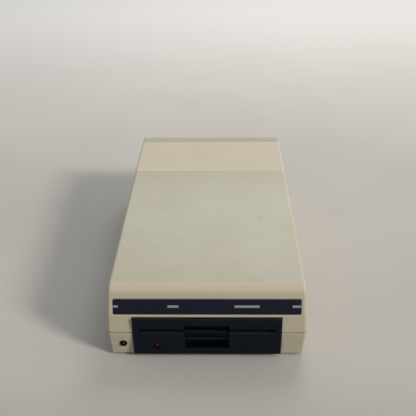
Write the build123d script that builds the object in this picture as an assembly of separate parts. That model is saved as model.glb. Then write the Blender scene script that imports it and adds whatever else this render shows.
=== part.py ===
from build123d import *
import math
import os

# External floppy disk drive. Millimetres, +X to the right, +Y towards the rear, +Z up.
# The origin is on the resting plane, under the middle of the case.
# Setbacks (names ending in _back) are measured from the drive bezel's face towards the rear.
# The case is wrapped round its contents, so its width, depth and height are worked out.

# Clearances
running_gap = 0.05     # radial, a shaft in its bearing or a screw in its hole
gap = 0.3              # between two pieces that pass or face each other
case_gap = 0.5         # round the bezel in the case's front notch

# Case shells
wall = 2.5
foot_height = 2.6
foot_radius = 7.0
foot_inset = 22.0      # from the case's side and front to a foot's centre
seam_height = 31.0
band_height = 3.5      # upright band of the lower case under the seam
lower_draft = 3.3      # how far the lower case tapers in, below the band
side_draft = 2.4       # how far the top cover's sides lean in, seam to crest
shell_edge = 3.0       # rounding of the top cover's side outline
nose_radius = 12.0     # rounding where the label face meets the roof
crest_radius = 3.0     # rounding of the roof's rear edge
brow_setback = 3.2     # label face's lower edge, behind the bezel's face
nose_setback = 12.9    # where label face and roof would meet, behind the bezel's face
roof_headroom = 14.2   # main board's top to the roof's inner face, at the front
roof_rise = 15.0       # roof from the nose to the step
step_rise = 2.4        # step up to the rear section
rear_rise = 1.5        # rear section from the step to its crest
crest_fall = 1.6       # sloping strip behind the crest
rear_lean = 1.4        # rear face leans in by this much at its top
step_from_rear = 117.0
crest_from_rear = 25.0
seam_groove = 0.8      # height of the groove between cover and lower case
seam_groove_depth = 0.7
lip_height = 2.5
lip_thickness = 1.2
bezel_proud = 1.6      # bezel's face stands this far out of the case
boss_radius = 5.0
boss_to_side = 13.0    # case screw axis to the case's side
case_screw_radius = 1.9
case_screw_head = 3.4
case_screw_length = 36.0
case_well_depth = 5.4

# Vents
louvre_width = 18.0
louvre_pitch = 22.0
louvre_count = 8
louvre_slot = 2.0
louvre_rows = 5
louvre_row_pitch = 6.0
louvre_over_opening = 12.0   # lowest slot over the rear opening
floor_vent_count = 9
floor_vent_pitch = 12.0
floor_vent_slot = 3.0
floor_vent_length = 35.0
floor_vent_behind_chassis = 10.0

# Nameplate on the label face
plate_width = 186.4
plate_height = 15.6
plate_thickness = 0.6
plate_up = 1.5         # plate's lower edge, up the label face from the brow
plate_corner = 1.5
recess_margin = 0.5    # recess larger than the plate, on each side
recess_depth = 0.7
recess_chamfer = 0.4   # chamfer round the recess's mouth

# Disk and the path that it takes
disk_size = 133.4
disk_inset = 5.3       # front edge of a seated disk behind the bezel's face
disk_side_play = 0.8
slot_height = 4.4
slot_below_seat = 1.4  # slot's lower edge under the spindle's seat
slot_side_play = 0.9     # bezel's slot wider than the guides, each side

# Bezel
bezel_depth = 11.0
bezel_wall = 2.2
bezel_rim = 2.0
bezel_side = 1.6       # bezel wider than the chassis, each side
bezel_edge = 0.8
bezel_below = 2.1      # bezel's lower edge above the case's underside
bezel_above = 12.2     # bezel's upper edge above the slot
recess_half_width = 22.5
recess_low = 9.9       # finger recess's lower edge above the case's underside
recess_over_slot = 4.1
recess_slant = 5.5     # the hollow under the lever is narrower at its back, each side
slot_bevel = 1.2
shelf = 2.0            # thickness of the ledges under and over the slot

# Latch lever and clamp bridge
lever_set_in = 3.0     # lever's front face behind the bezel's face
lever_front_depth = 4.8
lever_front_height = 8.5
lever_back = 2.0
lever_drop = 10.4      # lever's lower edge under the slot
lever_rise = 2.0       # lever's top flange over the tongue
lever_flange_length = 14.0
lever_play = 0.5
bridge_sheet = 2.0
bridge_over_slot = 0.5
bridge_plate_over_slot = 7.7
lifter_sheet = 0.9     # rail under the pressure arm's tab
bridge_half_width = 38.0
bridge_half_length = 19.0
leg_to_carriage = 5.5    # bridge leg's middle to the carriage's side
leg_thickness = 3.0
tongue_half_width = 15.0
pivot_behind_disk = 6.3
pivot_radius = 2.0
pivot_boss_radius = 4.0
post_thickness = 4.0
spring_wire = 0.5
rivet_radius = 1.5

# Spindle and its drive
flywheel_radius = 45.0
flywheel_thickness = 5.0
flywheel_over_floor = 3.6
spindle_radius = 3.0
spindle_flange_radius = 17.0
spindle_flange = 6.3
cup_radius = 14.6
cup_depth = 4.5
bearing_radius = 7.5
bearing_width = 5.0
bearing_spacing = 2.3
bearing_boss_wall = 3.5
belt_width = 4.0
belt_thickness = 0.8
motor_to_side = 4.5      # motor's can to the chassis's side wall
motor_behind_spindle = 110.0
motor_radius = 17.5
motor_height = 22.0
motor_shaft_radius = 1.5
pulley_radius = 6.0
hub_radius = 17.0
hub_cone_radius = 14.2
hub_cone_tip_radius = 9.0
hub_pin_radius = 2.5
hub_flange = 2.0
hub_neck_radius = 6.0
hub_neck = 2.0
hub_rib = 1.6
hub_rib_length = 7.0
hub_pocket = 2.0

# Chassis
plate_sheet = 3.0
plate_over_bearing = 5.7   # chassis plate's underside over the lower bearing's
side_wall = 3.0
guide_web = 2.5
guide_ledge = 5.5
side_wall_height = 26.0    # chassis side wall's top over the plate's underside
side_wall_drop = 10.0      # chassis side wall's bottom under the plate's underside
chassis_behind_pivot = 60.0
disk_stop_x = 50.0         # stops that the disk's rear edge meets, each side
disk_stop_width = 4.0
disk_stop_sheet = 3.0
ear_length = 8.0
ear_thickness = 3.0
screw_radius = 1.25
screw_head_radius = 2.6
screw_head = 1.6
bezel_screw_to_side = 8.0
bezel_screw_height = 4.0
panel_screw_length = 5.0
plate_screw_length = 4.0
foot_screw_length = 3.0

# Head, its carriage and its drive
track_radius = 57.15       # outermost track from the spindle's axis
head_travel = 20.0
head_radius = 3.0
head_over_seat = 0.6
rod_radius = 2.5
rod_spacing = 40.0
rod_over_plate = 5.0
rod_margin = 11.0          # rods run on past the carriage, ahead of its innermost place
rod_tail = 20.0            # and behind its outermost place
carriage_half_width = 27.0
carriage_length = 34.0
carriage_height = 7.5
head_from_nose = 6.15      # head's axis behind the carriage's front end
arm_half_width = 6.0
arm_sheet = 2.0
arm_over_seat = 4.7
arm_hinge_behind_head = 20.0
felt_radius = 3.0
capstan_radius = 6.0
capstan_height = 6.5
band_sheet = 0.2
stepper_radius = 17.0
stepper_height = 14.0
capstan_to_carriage = 3.0
stepper_behind_pivot = 27.0

# Boards
board_sheet = 1.6
board_front_back = 22.0
board_length = 240.0
board_over_bridge = 2.0    # board over the lifted bridge
board_to_boss = 2.0
rail_sheet = 1.2
rail_flange = 10.0
rail_screw_over_plate = 12.0
chip_height = 4.5
large_chip_length = 52.0
medium_chip_length = 32.0
large_chip_width = 14.0
large_chip_pitch = 24.0
large_chip_row_share = 0.1875   # rows, as shares of the board's length from its front edge
small_chip_length = 20.0
small_chip_width = 7.0
small_chip_pitch = 18.0
small_chip_row_share = 0.396
second_chip_row_share = 0.5335
capacitor_radius = 11.0
capacitor_height = 22.0
capacitor_pitch = 28.0
capacitor_x = -24.0        # middle of the large pair
capacitor_row_share = 0.8125
small_capacitor_radius = 4.0
small_capacitor_height = 12.0
small_capacitor_pitch = 14.0
small_capacitor_x = 34.0   # middle of the three
sink_x = -15.0
sink_length = 80.0
sink_height = 22.0
sink_sheet = 3.0
sink_to_rear = 16.0
fin_sheet = 1.6
fin_depth = 8.0
fin_pitch = 10.0
regulator_x = -29.0        # middle of the pair on the heat sink
regulator_pitch = 22.0
regulator_width = 10.0
regulator_thickness = 4.5
regulator_height = 15.0
regulator_stand = 4.0      # body's lower end over the board
rectifier_x = 47.0         # middle of the pair beside the heat sink
rectifier_pitch = 22.0
rectifier_width = 16.0
rectifier_thickness = 5.5
connector_length = 18.0
connector_width = 6.0
connector_height = 8.0
connector_pitch = 30.0
connector_x = -15.0        # middle of the three
connector_row_share = 0.658
rear_connector_x = 54.0    # middle of the rear pair
rear_connector_pitch = 20.0
drive_chip_length = 18.0
drive_chip_width = 6.5
drive_chip_height = 3.6
drive_chip_pitch = 20.0
drive_chip_row = 30.0      # behind the clamp's pivot
drive_connector_length = 14.0
drive_connector_width = 6.0
drive_connector_height = 5.0
drive_connector_pitch = 25.0
drive_connector_to_rear = 12.0
lead_width = 0.8
bridge_lift_angle = 6.2    # degrees, the latch lever's full lift

# Power supply and rear panel
transformer_behind_board = 25.0
winding_overhang = 12.0    # winding stands out of the core, front and rear
core_width = 66.0
core_height = 55.0
core_depth = 26.0
core_limb = 11.0
transformer_x = -48.0
transformer_over_floor = 4.4
panel_sheet = 1.5
panel_behind_transformer = 29.8
panel_to_rear = 5.7        # panel's outer face to the case's rear face
panel_overlap = 4.0        # panel wider and higher than the case's rear opening
panel_stop_x = 30.0
panel_stop_half = 8.0
rear_opening_margin = 2.5  # rear opening wider than the row of sockets, each side
rear_opening_height = 17.0 # over the seam
socket_row_height = 28.0   # centres of the rear sockets
inlet_width = 24.8
inlet_height = 17.0
inlet_depth = 17.0
inlet_wall = 2.0
inlet_rim = 3.5            # the mouth's rim stands this far out of the panel
inlet_flange_half = 24.5
inlet_flange_height = 24.0
inlet_ear = 20.0           # screw's axis from the inlet's middle
flange_sheet = 2.0
fuse_flange_radius = 8.5
fuse_body_radius = 6.4
fuse_length = 28.0
fuse_stem_radius = 5.0
fuse_cap_radius = 7.0
switch_flange_half = 8.0
switch_flange_height = 23.0
switch_half_width = 6.5
switch_half_height = 9.5
switch_depth = 16.0
serial_flange_half = 14.0
serial_flange_height = 19.0
serial_flange_sheet = 1.2
serial_ear = 10.5
serial_radius = 8.0
serial_bore_radius = 7.1
serial_core_radius = 5.9
serial_depth = 10.0
serial_pin_circle = 3.4
serial_pin_radius = 0.8
socket_spacing = 3.0       # between neighbouring flanges on the rear panel
serial_spacing = 4.0       # from the switch to the first serial socket

# Lamps
power_led_to_notch = 9.9   # lamp's axis to the notch in the lower case
power_led_height = 16.6
activity_led_to_side = 24.0  # lamp's axis to the bezel's side
activity_led_height = 15.3
led_radius = 2.5
led_holder_radius = 3.75
led_well_radius = 3.6

# Heights, from the floor up
floor_top = foot_height + wall
flywheel_low = floor_top + flywheel_over_floor
bearing_low = flywheel_low + flywheel_thickness + 2 * gap
bearing_high = bearing_low + 2 * bearing_width + bearing_spacing
plate_low = bearing_low + plate_over_bearing
plate_top = plate_low + plate_sheet
flange_low = bearing_high + gap
seat_height = flange_low + spindle_flange
slot_low = seat_height - slot_below_seat
slot_top = slot_low + slot_height
pivot_height = (slot_low + slot_top) / 2
bridge_low = slot_top + bridge_over_slot
bridge_top = bridge_low + bridge_sheet
cross_low = slot_top + bridge_plate_over_slot
cross_top = cross_low + bridge_sheet
lever_low = slot_low - lever_drop
wall_top = plate_low + side_wall_height
wall_low = plate_low - side_wall_drop

# Setbacks, from the bezel's face to the rear
spindle_back = disk_inset + disk_size / 2
disk_rear_back = disk_inset + disk_size
pivot_back = disk_rear_back + pivot_behind_disk
chassis_rear_back = pivot_back + chassis_behind_pivot
board_rear_back = board_front_back + board_length
transformer_back = board_rear_back + transformer_behind_board
transformer_length = core_depth + 2 * winding_overhang
panel_back = transformer_back + transformer_length + panel_behind_transformer
case_depth = panel_back + panel_sheet + panel_to_rear
stepper_back = pivot_back + stepper_behind_pivot
motor_back = spindle_back + motor_behind_spindle
head_back = spindle_back + track_radius
carriage_front_back = head_back - head_from_nose
carriage_rear_back = carriage_front_back + carriage_length

# The board clears the bridge at its full lift
bridge_reach = pivot_back - spindle_back + bridge_half_length
bridge_lift = bridge_reach * math.sin(math.radians(bridge_lift_angle))
pin_head = 2.0
board_low = cross_top + pin_head + bridge_lift + board_over_bridge
board_top = board_low + board_sheet

# Half-widths, from the middle out
guide_x = disk_size / 2 + disk_side_play
chassis_inner = guide_x + guide_web
chassis_half = chassis_inner + side_wall
bezel_half = chassis_half + bezel_side
ear_screw_x = chassis_half + ear_length / 2
boss_x = chassis_half + ear_length + boss_radius + 1.0
case_half = boss_x + boss_to_side
board_half = boss_x - boss_radius - board_to_boss
notch_half = bezel_half + case_gap
slot_half_width = guide_x + slot_side_play
motor_x = -(chassis_inner - motor_to_side - motor_radius)
stepper_x = carriage_half_width + capstan_to_carriage + capstan_radius
leg_x = carriage_half_width + leg_to_carriage
power_led_x = -(notch_half + power_led_to_notch)
activity_led_x = -(bezel_half - activity_led_to_side)

# The case's profile
bezel_low = foot_height + bezel_below
bezel_top = slot_top + bezel_above
notch_top = bezel_top + case_gap
brow_height = notch_top + 1.5
nose_height = board_top + roof_headroom + wall
step_height = nose_height + roof_rise
case_height = step_height + step_rise + rear_rise
shell_front = bezel_proud
lip_outer = wall + gap + 0.2
case_boss_backs = (40.0, case_depth - 22.0)
socket_row_width = 2 * (inlet_flange_half + fuse_flange_radius + switch_flange_half
                        + 2 * serial_flange_half) + 3 * socket_spacing + serial_spacing
rear_opening_half = socket_row_width / 2 + rear_opening_margin
panel_half_width = rear_opening_half + panel_overlap
panel_top = seam_height + rear_opening_height + panel_overlap
inlet_x = inlet_flange_half - socket_row_width / 2
fuse_x = inlet_x + inlet_flange_half + socket_spacing + fuse_flange_radius
switch_x = fuse_x + fuse_flange_radius + socket_spacing + switch_flange_half
first_serial_x = switch_x + switch_flange_half + serial_spacing + serial_flange_half
serial_xs = (first_serial_x, first_serial_x + 2 * serial_flange_half + socket_spacing)
foot_backs = (foot_inset, case_depth - 2 * foot_inset)
ear_backs = (47.0, chassis_rear_back - 15.0)

print("case", 2 * case_half, case_depth, case_height)


def row(back):
    """Row y of a setback from the bezel's face."""
    return back - case_depth / 2


def block(x0, x1, back0, back1, z0, z1):
    """Box between two corners, its depth given as setbacks."""
    centre = Pos((x0 + x1) / 2, row((back0 + back1) / 2), (z0 + z1) / 2)
    return centre * Box(x1 - x0, back1 - back0, z1 - z0)


def post(x, back, radius, z0, z1):
    """Upright cylinder."""
    return Pos(x, row(back), (z0 + z1) / 2) * Cylinder(radius, z1 - z0)


def cross_pin(x0, x1, back, z, radius):
    """Cylinder along X."""
    return Pos((x0 + x1) / 2, row(back), z) * Rot(0, 90, 0) * Cylinder(radius, x1 - x0)


def deep_pin(x, back0, back1, z, radius):
    """Cylinder along Y."""
    return Pos(x, row((back0 + back1) / 2), z) * Rot(90, 0, 0) * Cylinder(radius, back1 - back0)


def side_face(points):
    """Polygon of (setback, height) points in the plane X = 0."""
    outline = Polyline(*[(row(back), z) for back, z in points], close=True)
    return make_face(Plane.YZ * outline)


def side_plate(points, x0, x1):
    """Plate cut to an outline of (setback, height) points, from x0 to x1."""
    return extrude(Pos(x0, 0, 0) * side_face(points), amount=x1 - x0, dir=(1, 0, 0))


def screw(x, back, z_seat, length, head_radius=screw_head_radius, radius=screw_radius):
    """Pan-head screw that goes down from its seat."""
    head = post(x, back, head_radius, z_seat, z_seat + screw_head)
    head = chamfer(head.edges().sort_by(Axis.Z)[-1], screw_head * 0.3)
    slot = block(x - head_radius, x + head_radius, back - 0.3, back + 0.3,
                 z_seat + screw_head * 0.6, z_seat + screw_head + 1)
    return head - slot + post(x, back, radius, z_seat - length, z_seat)


def mirrored(solid):
    """The solid and its mirror image across X = 0."""
    return [solid, mirror(solid, Plane.YZ)]


def union(solids):
    """All the solids as one."""
    whole = solids[0]
    for solid in solids[1:]:
        whole = whole + solid
    return whole


# ---------------------------------------------------------------- case shells

def cover_profile(low):
    """Side outline of the top cover, open downwards to the height low."""
    step_back = case_depth - step_from_rear
    crest_back = case_depth - crest_from_rear
    crest_rear = case_height - crest_fall
    points = [
        (shell_front, seam_height), (brow_setback, brow_height), (nose_setback, nose_height),
        (step_back, step_height), (step_back + step_rise * 0.5, step_height + step_rise),
        (crest_back, case_height), (case_depth - rear_lean, crest_rear), (case_depth, seam_height),
    ]
    if low < seam_height:
        points = [(shell_front, low)] + points + [(case_depth, low)]
    face = side_face(points)
    nose = face.vertices().sort_by_distance((0, row(nose_setback), nose_height))[0]
    face = fillet(nose, nose_radius)
    crest = face.vertices().sort_by_distance((0, row(case_depth - rear_lean), crest_rear))[0]
    return fillet(crest, crest_radius)


def cover_block(inset, low):
    """The top cover's outer form, or that form moved in by inset."""
    profile = cover_profile(low)
    if inset > 0:
        profile = offset(profile, -inset, kind=Kind.INTERSECTION)
    body = extrude(profile, amount=case_half, dir=(1, 0, 0), both=True)
    top = case_height + 1
    lean = side_draft * (top - seam_height) / (case_height - seam_height)
    half = case_half - inset
    skirt = low - inset - 1
    outline = Polyline((-half, skirt), (-half, seam_height), (-half + lean, top),
                       (half - lean, top), (half, seam_height), (half, skirt), close=True)
    prism = extrude(make_face(Plane.XZ * outline), amount=case_depth, both=True)
    return body & prism


def louvre_cutters():
    """Rows of vent slots through the rear face."""
    cutters = []
    lowest = seam_height + rear_opening_height + louvre_over_opening
    for column in range(louvre_count):
        x = (column - (louvre_count - 1) / 2) * louvre_pitch
        for line in range(louvre_rows):
            z = lowest + louvre_row_pitch * line
            cutters.append(block(x - louvre_width / 2, x + louvre_width / 2, case_depth - 3 * wall,
                                 case_depth + 1, z - louvre_slot / 2, z + louvre_slot / 2))
    return cutters


def label_plane():
    """Plane on the label face: x along the face's width, y up the slope, z outwards."""
    run = nose_setback - brow_setback
    rise = nose_height - brow_height
    return Plane(origin=(0, row(brow_setback), brow_height), x_dir=(1, 0, 0), z_dir=(0, -rise, run))


def label_slab(width, low, high, depth, thickness, corner):
    """Rounded slab on the label face, from depth below the face towards the outside."""
    sheet = RectangleRounded(width, high - low, corner)
    return label_plane() * Pos(0, (low + high) / 2, -depth) * extrude(sheet, amount=thickness)


def label_recess():
    """Cutter for the nameplate's recess, which opens outwards in a chamfer."""
    width = plate_width + 2 * recess_margin
    low = plate_up - recess_margin
    high = plate_up + plate_height + recess_margin
    mouth = label_plane() * Pos(0, (low + high) / 2, -recess_chamfer) * extrude(
        RectangleRounded(width, high - low, plate_corner), amount=2 * recess_chamfer, taper=-45)
    return label_slab(width, low, high, recess_depth, recess_depth + 1, plate_corner) + mouth


def seam_ring():
    """Ring that cuts the groove along the seam, half in each shell."""
    length = case_depth - shell_front
    low = seam_height - seam_groove / 2
    around = Rectangle(2 * case_half + wall, length + wall)
    kept = RectangleRounded(2 * (case_half - seam_groove_depth), length - 2 * seam_groove_depth, shell_edge)
    return Pos(0, row((case_depth + shell_front) / 2), low) * extrude(around - kept, amount=seam_groove)


def make_top_cover():
    outer = cover_block(0, seam_height)
    ends = [min, max]
    rims = []
    for end in ends:
        side = end(outer.faces(), key=lambda face: face.center().X)
        rims += [edge for edge in side.edges() if edge.center().Z > seam_height + 0.1]
    outer = fillet(rims, shell_edge)
    cover = outer - cover_block(wall, seam_height - 2 * wall)
    inside = cover_block(wall / 2, seam_height)
    for back in case_boss_backs:
        boss = post(boss_x, back, boss_radius, seam_height, case_height) & inside
        for solid in mirrored(boss):
            cover = cover + solid
        bore = post(boss_x, back, case_screw_radius + running_gap, seam_height - 1,
                    seam_height + case_screw_length * 0.6)
        for solid in mirrored(bore):
            cover = cover - solid
    cover = cover - block(-notch_half, notch_half, -1, 3 * wall, seam_height - 1, notch_top)
    cover = cover - block(-rear_opening_half, rear_opening_half, case_depth - 1.6 * wall,
                          case_depth + 1, seam_height - 1, seam_height + rear_opening_height)
    cover = cover - label_recess()
    for cutter in louvre_cutters():
        cover = cover - cutter
    return cover - seam_ring()


def lower_form(inset, low):
    """The lower case's outer form above the height low, or that form moved in by inset."""
    length = case_depth - shell_front
    sheet = RectangleRounded(2 * (case_half - inset), length - 2 * inset, shell_edge)
    band_low = seam_height - band_height
    middle = row((case_depth + shell_front) / 2)
    band = Pos(0, middle, band_low) * extrude(sheet, amount=band_height + inset)
    lean = math.degrees(math.atan(lower_draft / (band_low - foot_height)))
    down = Plane(origin=(0, middle, band_low), x_dir=(1, 0, 0), z_dir=(0, 0, -1))
    return band + extrude(down * sheet, amount=band_low - low, taper=lean)


def make_bottom_case():
    case = lower_form(0, foot_height) - lower_form(wall, floor_top)
    length = case_depth - shell_front
    middle = row((case_depth + shell_front) / 2)
    inner = wall + gap + 0.2 + lip_thickness
    for outside, z0, z1 in ((wall - 0.1, seam_height - band_height, seam_height),
                            (lip_outer, seam_height - band_height, seam_height + lip_height)):
        ring = RectangleRounded(2 * (case_half - outside), length - 2 * outside, shell_edge)
        ring = ring - RectangleRounded(2 * (case_half - inner), length - 2 * inner, shell_edge)
        case = case + Pos(0, middle, z0) * extrude(ring, amount=z1 - z0)
    for back in case_boss_backs:
        for solid in mirrored(post(boss_x, back, boss_radius, floor_top - 0.5, seam_height)):
            case = case + solid
    case = case - block(-notch_half, notch_half, -1, bezel_depth + gap, 0, seam_height + 2 * lip_height)
    case = case - block(-rear_opening_half, rear_opening_half, case_depth - 2.2 * wall,
                        case_depth + 1, floor_top + 3.5, seam_height + 2 * lip_height)
    for back in case_boss_backs:
        shaft = post(boss_x, back, case_screw_radius + running_gap, 0, seam_height + 1)
        well = post(boss_x, back, case_screw_head + running_gap, 0, foot_height + case_well_depth)
        for solid in mirrored(shaft + well):
            case = case - solid
    for back in ear_backs:
        for solid in mirrored(post(ear_screw_x, back, 4, floor_top - 0.5, wall_low)):
            case = case + solid
        hole = post(ear_screw_x, back, screw_radius + running_gap, floor_top - 1, wall_low + 1)
        for solid in mirrored(hole):
            case = case - solid
    for dx, dy in transformer_feet():
        centre_back = transformer_back + transformer_length / 2 + dy
        case = case + post(transformer_x + dx, centre_back, 4, floor_top - 0.5,
                           floor_top + transformer_over_floor)
        case = case - post(transformer_x + dx, centre_back, screw_radius + running_gap,
                           floor_top - 1, floor_top + transformer_over_floor + 1)
    for x in (-panel_stop_x, panel_stop_x):
        case = case + block(x - panel_stop_half, x + panel_stop_half, panel_back - panel_sheet,
                            panel_back, floor_top - 0.5, floor_top + 5)
    for back in foot_backs:
        peg = post(case_half - foot_inset, back, foot_radius * 0.35 + running_gap, 0,
                   foot_height + wall - 0.7)
        for solid in mirrored(peg):
            case = case - solid
    vent_back = chassis_rear_back + floor_vent_behind_chassis
    for number in range(floor_vent_count):
        x = (number - (floor_vent_count - 1) / 2) * floor_vent_pitch
        case = case - block(x - floor_vent_slot / 2, x + floor_vent_slot / 2, vent_back,
                            vent_back + floor_vent_length, foot_height - 1, floor_top + 1)
    hole = deep_pin(power_led_x, -1, 4 * wall, power_led_height, led_radius + 0.6)
    return case - hole - seam_ring()


def make_rubber_feet():
    feet = []
    for back in foot_backs:
        centre = case_half - foot_inset
        pad = Pos(centre, row(back), foot_height) * extrude(
            Plane(origin=(0, 0, 0), z_dir=(0, 0, -1)) * Circle(foot_radius), amount=foot_height, taper=5)
        peg = post(centre, back, foot_radius * 0.35, foot_height - 1, foot_height + wall - 1)
        feet += mirrored(pad + peg)
    return Compound(children=feet)


def make_case_screws():
    screws = []
    seat = foot_height + case_well_depth
    for back in case_boss_backs:
        head = post(boss_x, back, case_screw_head, seat - 2.2, seat)
        cross = block(boss_x - 2, boss_x + 2, back - 0.4, back + 0.4, seat - 3, seat - 1.1)
        cross = cross + block(boss_x - 0.4, boss_x + 0.4, back - 2, back + 2, seat - 3, seat - 1.1)
        shank = post(boss_x, back, case_screw_radius, seat, seat + case_screw_length)
        screws += mirrored(head - cross + shank)
    return Compound(children=screws)


def make_nameplate():
    depth = recess_depth
    return label_slab(plate_width, plate_up, plate_up + plate_height, depth, plate_thickness, plate_corner)


# ---------------------------------------------------------------- bezel and lamps

def make_front_bezel():
    face = block(-bezel_half, bezel_half, 0, bezel_wall, bezel_low, bezel_top)
    face = chamfer(face.faces().sort_by(Axis.Y)[0].edges(), bezel_edge * 0.9)
    rim = block(-bezel_half, bezel_half, bezel_wall, bezel_depth, bezel_low, bezel_top)
    rim = rim - block(-bezel_half + bezel_rim, bezel_half - bezel_rim, 0, bezel_depth + 1,
                      bezel_low + bezel_rim, bezel_top - bezel_rim)
    bezel = face + rim
    ledge_x = bezel_half - bezel_rim
    for z0, z1 in ((slot_low - shelf, slot_low), (slot_top, slot_top + shelf)):
        bezel = bezel + block(-ledge_x - 0.5, ledge_x + 0.5, bezel_wall, bezel_depth, z0, z1)
    recess_bottom = foot_height + recess_low
    recess_top = slot_top + recess_over_slot
    bezel = bezel + block(-recess_half_width - shelf, recess_half_width + shelf, bezel_wall,
                          bezel_depth, recess_bottom - shelf, bezel_top)
    bezel = bezel - block(-recess_half_width, recess_half_width, bezel_wall, bezel_depth - shelf,
                          recess_bottom, bezel_top + 1)
    bezel = bezel - block(-recess_half_width, recess_half_width, bezel_depth - shelf - 1,
                          bezel_depth + 1, lever_low - lever_play, bezel_top + 1)
    slant = Polyline((recess_half_width + 0.1, row(0.5)), (recess_half_width + 0.1, row(bezel_depth)),
                     (recess_half_width - recess_slant, row(bezel_depth)), close=True)
    slant = Pos(0, 0, recess_bottom - 0.5) * extrude(make_face(slant),
                                                     amount=lever_low - lever_play - recess_bottom + 0.5)
    for solid in mirrored(slant):
        bezel = bezel + solid
    cheek_back = lever_set_in + lever_front_depth
    bezel = bezel - block(-recess_half_width - shelf - 1, recess_half_width + shelf + 1, cheek_back,
                          bezel_depth + 1, slot_top + bridge_over_slot * 0.5, bezel_top + 1)
    bezel = bezel - block(-recess_half_width, recess_half_width, -1, bezel_wall + 1,
                          recess_bottom, recess_top)
    bezel = bezel - block(-slot_half_width, slot_half_width, -1, bezel_depth + 1, slot_low, slot_top)
    bevel = side_plate([(-1, slot_low - slot_bevel - 1), (-1, slot_low), (slot_bevel * 1.3, slot_low),
                        (0, slot_low - slot_bevel)], -slot_half_width, slot_half_width)
    bezel = bezel - bevel
    for x in (-1, 1):
        boss_at = x * (chassis_half - bezel_screw_to_side)
        z = wall_low + bezel_screw_height
        bezel = bezel + deep_pin(boss_at, bezel_wall - 0.5, bezel_depth, z, 3.2)
        bezel = bezel - deep_pin(boss_at, bezel_wall + 0.8, bezel_depth + 1, z, screw_radius + running_gap)
    bezel = bezel - deep_pin(activity_led_x, -1, 1.2, activity_led_height, led_well_radius)
    return bezel - deep_pin(activity_led_x, 0, bezel_wall + 1, activity_led_height,
                            led_radius + running_gap)


def lamp(x, z, face_back, stand_out, length):
    """Round lamp with a domed front and a collar, its axis along Y."""
    front = face_back - stand_out
    body = deep_pin(x, front + led_radius * 0.6, face_back + length, z, led_radius)
    dome = Pos(x, row(front + led_radius), z) * Sphere(led_radius)
    leads = [deep_pin(x + dx, face_back + length - 1, face_back + length + 5, z, 0.25)
             for dx in (-1.27, 1.27)]
    return union([body, dome] + leads)


def power_led_wall():
    """Setback of the lower case's front face at the power lamp."""
    fall = seam_height - band_height - power_led_height
    return shell_front + lower_draft * fall / (seam_height - band_height - foot_height)


def make_power_led_holder():
    face = power_led_wall()
    collar = deep_pin(power_led_x, face - 0.9, face + 0.35, power_led_height, led_holder_radius)
    collar = chamfer(collar.edges().sort_by(Axis.Y)[0], 0.3)
    lean = math.degrees(math.atan(lower_draft / (seam_height - band_height - foot_height)))
    front = Plane(origin=(power_led_x, row(face), power_led_height),
                  z_dir=(0, -math.cos(math.radians(lean)), -math.sin(math.radians(lean))))
    collar = collar & (front * Pos(0, 0, 5 + 0.01) * Box(20, 20, 10))
    barrel = deep_pin(power_led_x, face - 0.5, face + wall + 1.5, power_led_height, led_radius + 0.55)
    claw = deep_pin(power_led_x, face + wall + 0.6, face + wall + 1.5, power_led_height,
                    led_radius + 1.1)
    hole = deep_pin(power_led_x, face - 2, face + wall + 3, power_led_height, led_radius + running_gap)
    return collar + barrel + claw - hole


def make_power_led():
    return lamp(power_led_x, power_led_height, power_led_wall(), 1.1, wall + 4)


def make_activity_led():
    return lamp(activity_led_x, activity_led_height, 0, -0.1, bezel_wall + 4)


# ---------------------------------------------------------------- latch lever and clamp

def make_latch_lever():
    half = recess_half_width - lever_play
    front = lever_set_in
    back = front + lever_front_depth
    rear = back + lever_back
    top = bridge_top + lever_rise
    lever = block(-half, half, front, rear, lever_low, lever_low + lever_front_height)
    lever = fillet([edge for edge in lever.edges().filter_by(Axis.X)
                    if edge.center().Y < row(front) + 0.1], 0.9)
    grip = cross_pin(-half + 2, half - 2, front + lever_front_depth * 0.55, lever_low, 1.8)
    lever = lever - grip
    lever = lever + block(-half, half, back, rear, lever_low, bridge_top)
    lever = lever + block(-tongue_half_width, tongue_half_width, back, back + lever_flange_length,
                          bridge_top, top)
    lever = lever + block(-tongue_half_width, tongue_half_width, back, rear, bridge_low, top)
    for x in (-8, 8):
        lever = lever - post(x, rivet_back(), rivet_radius + running_gap, bridge_low, top + 1)
    return lever


def rivet_back():
    """Setback of the two rivets that hold the lever on the tongue."""
    return lever_set_in + lever_front_depth + lever_flange_length * 0.65


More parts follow.
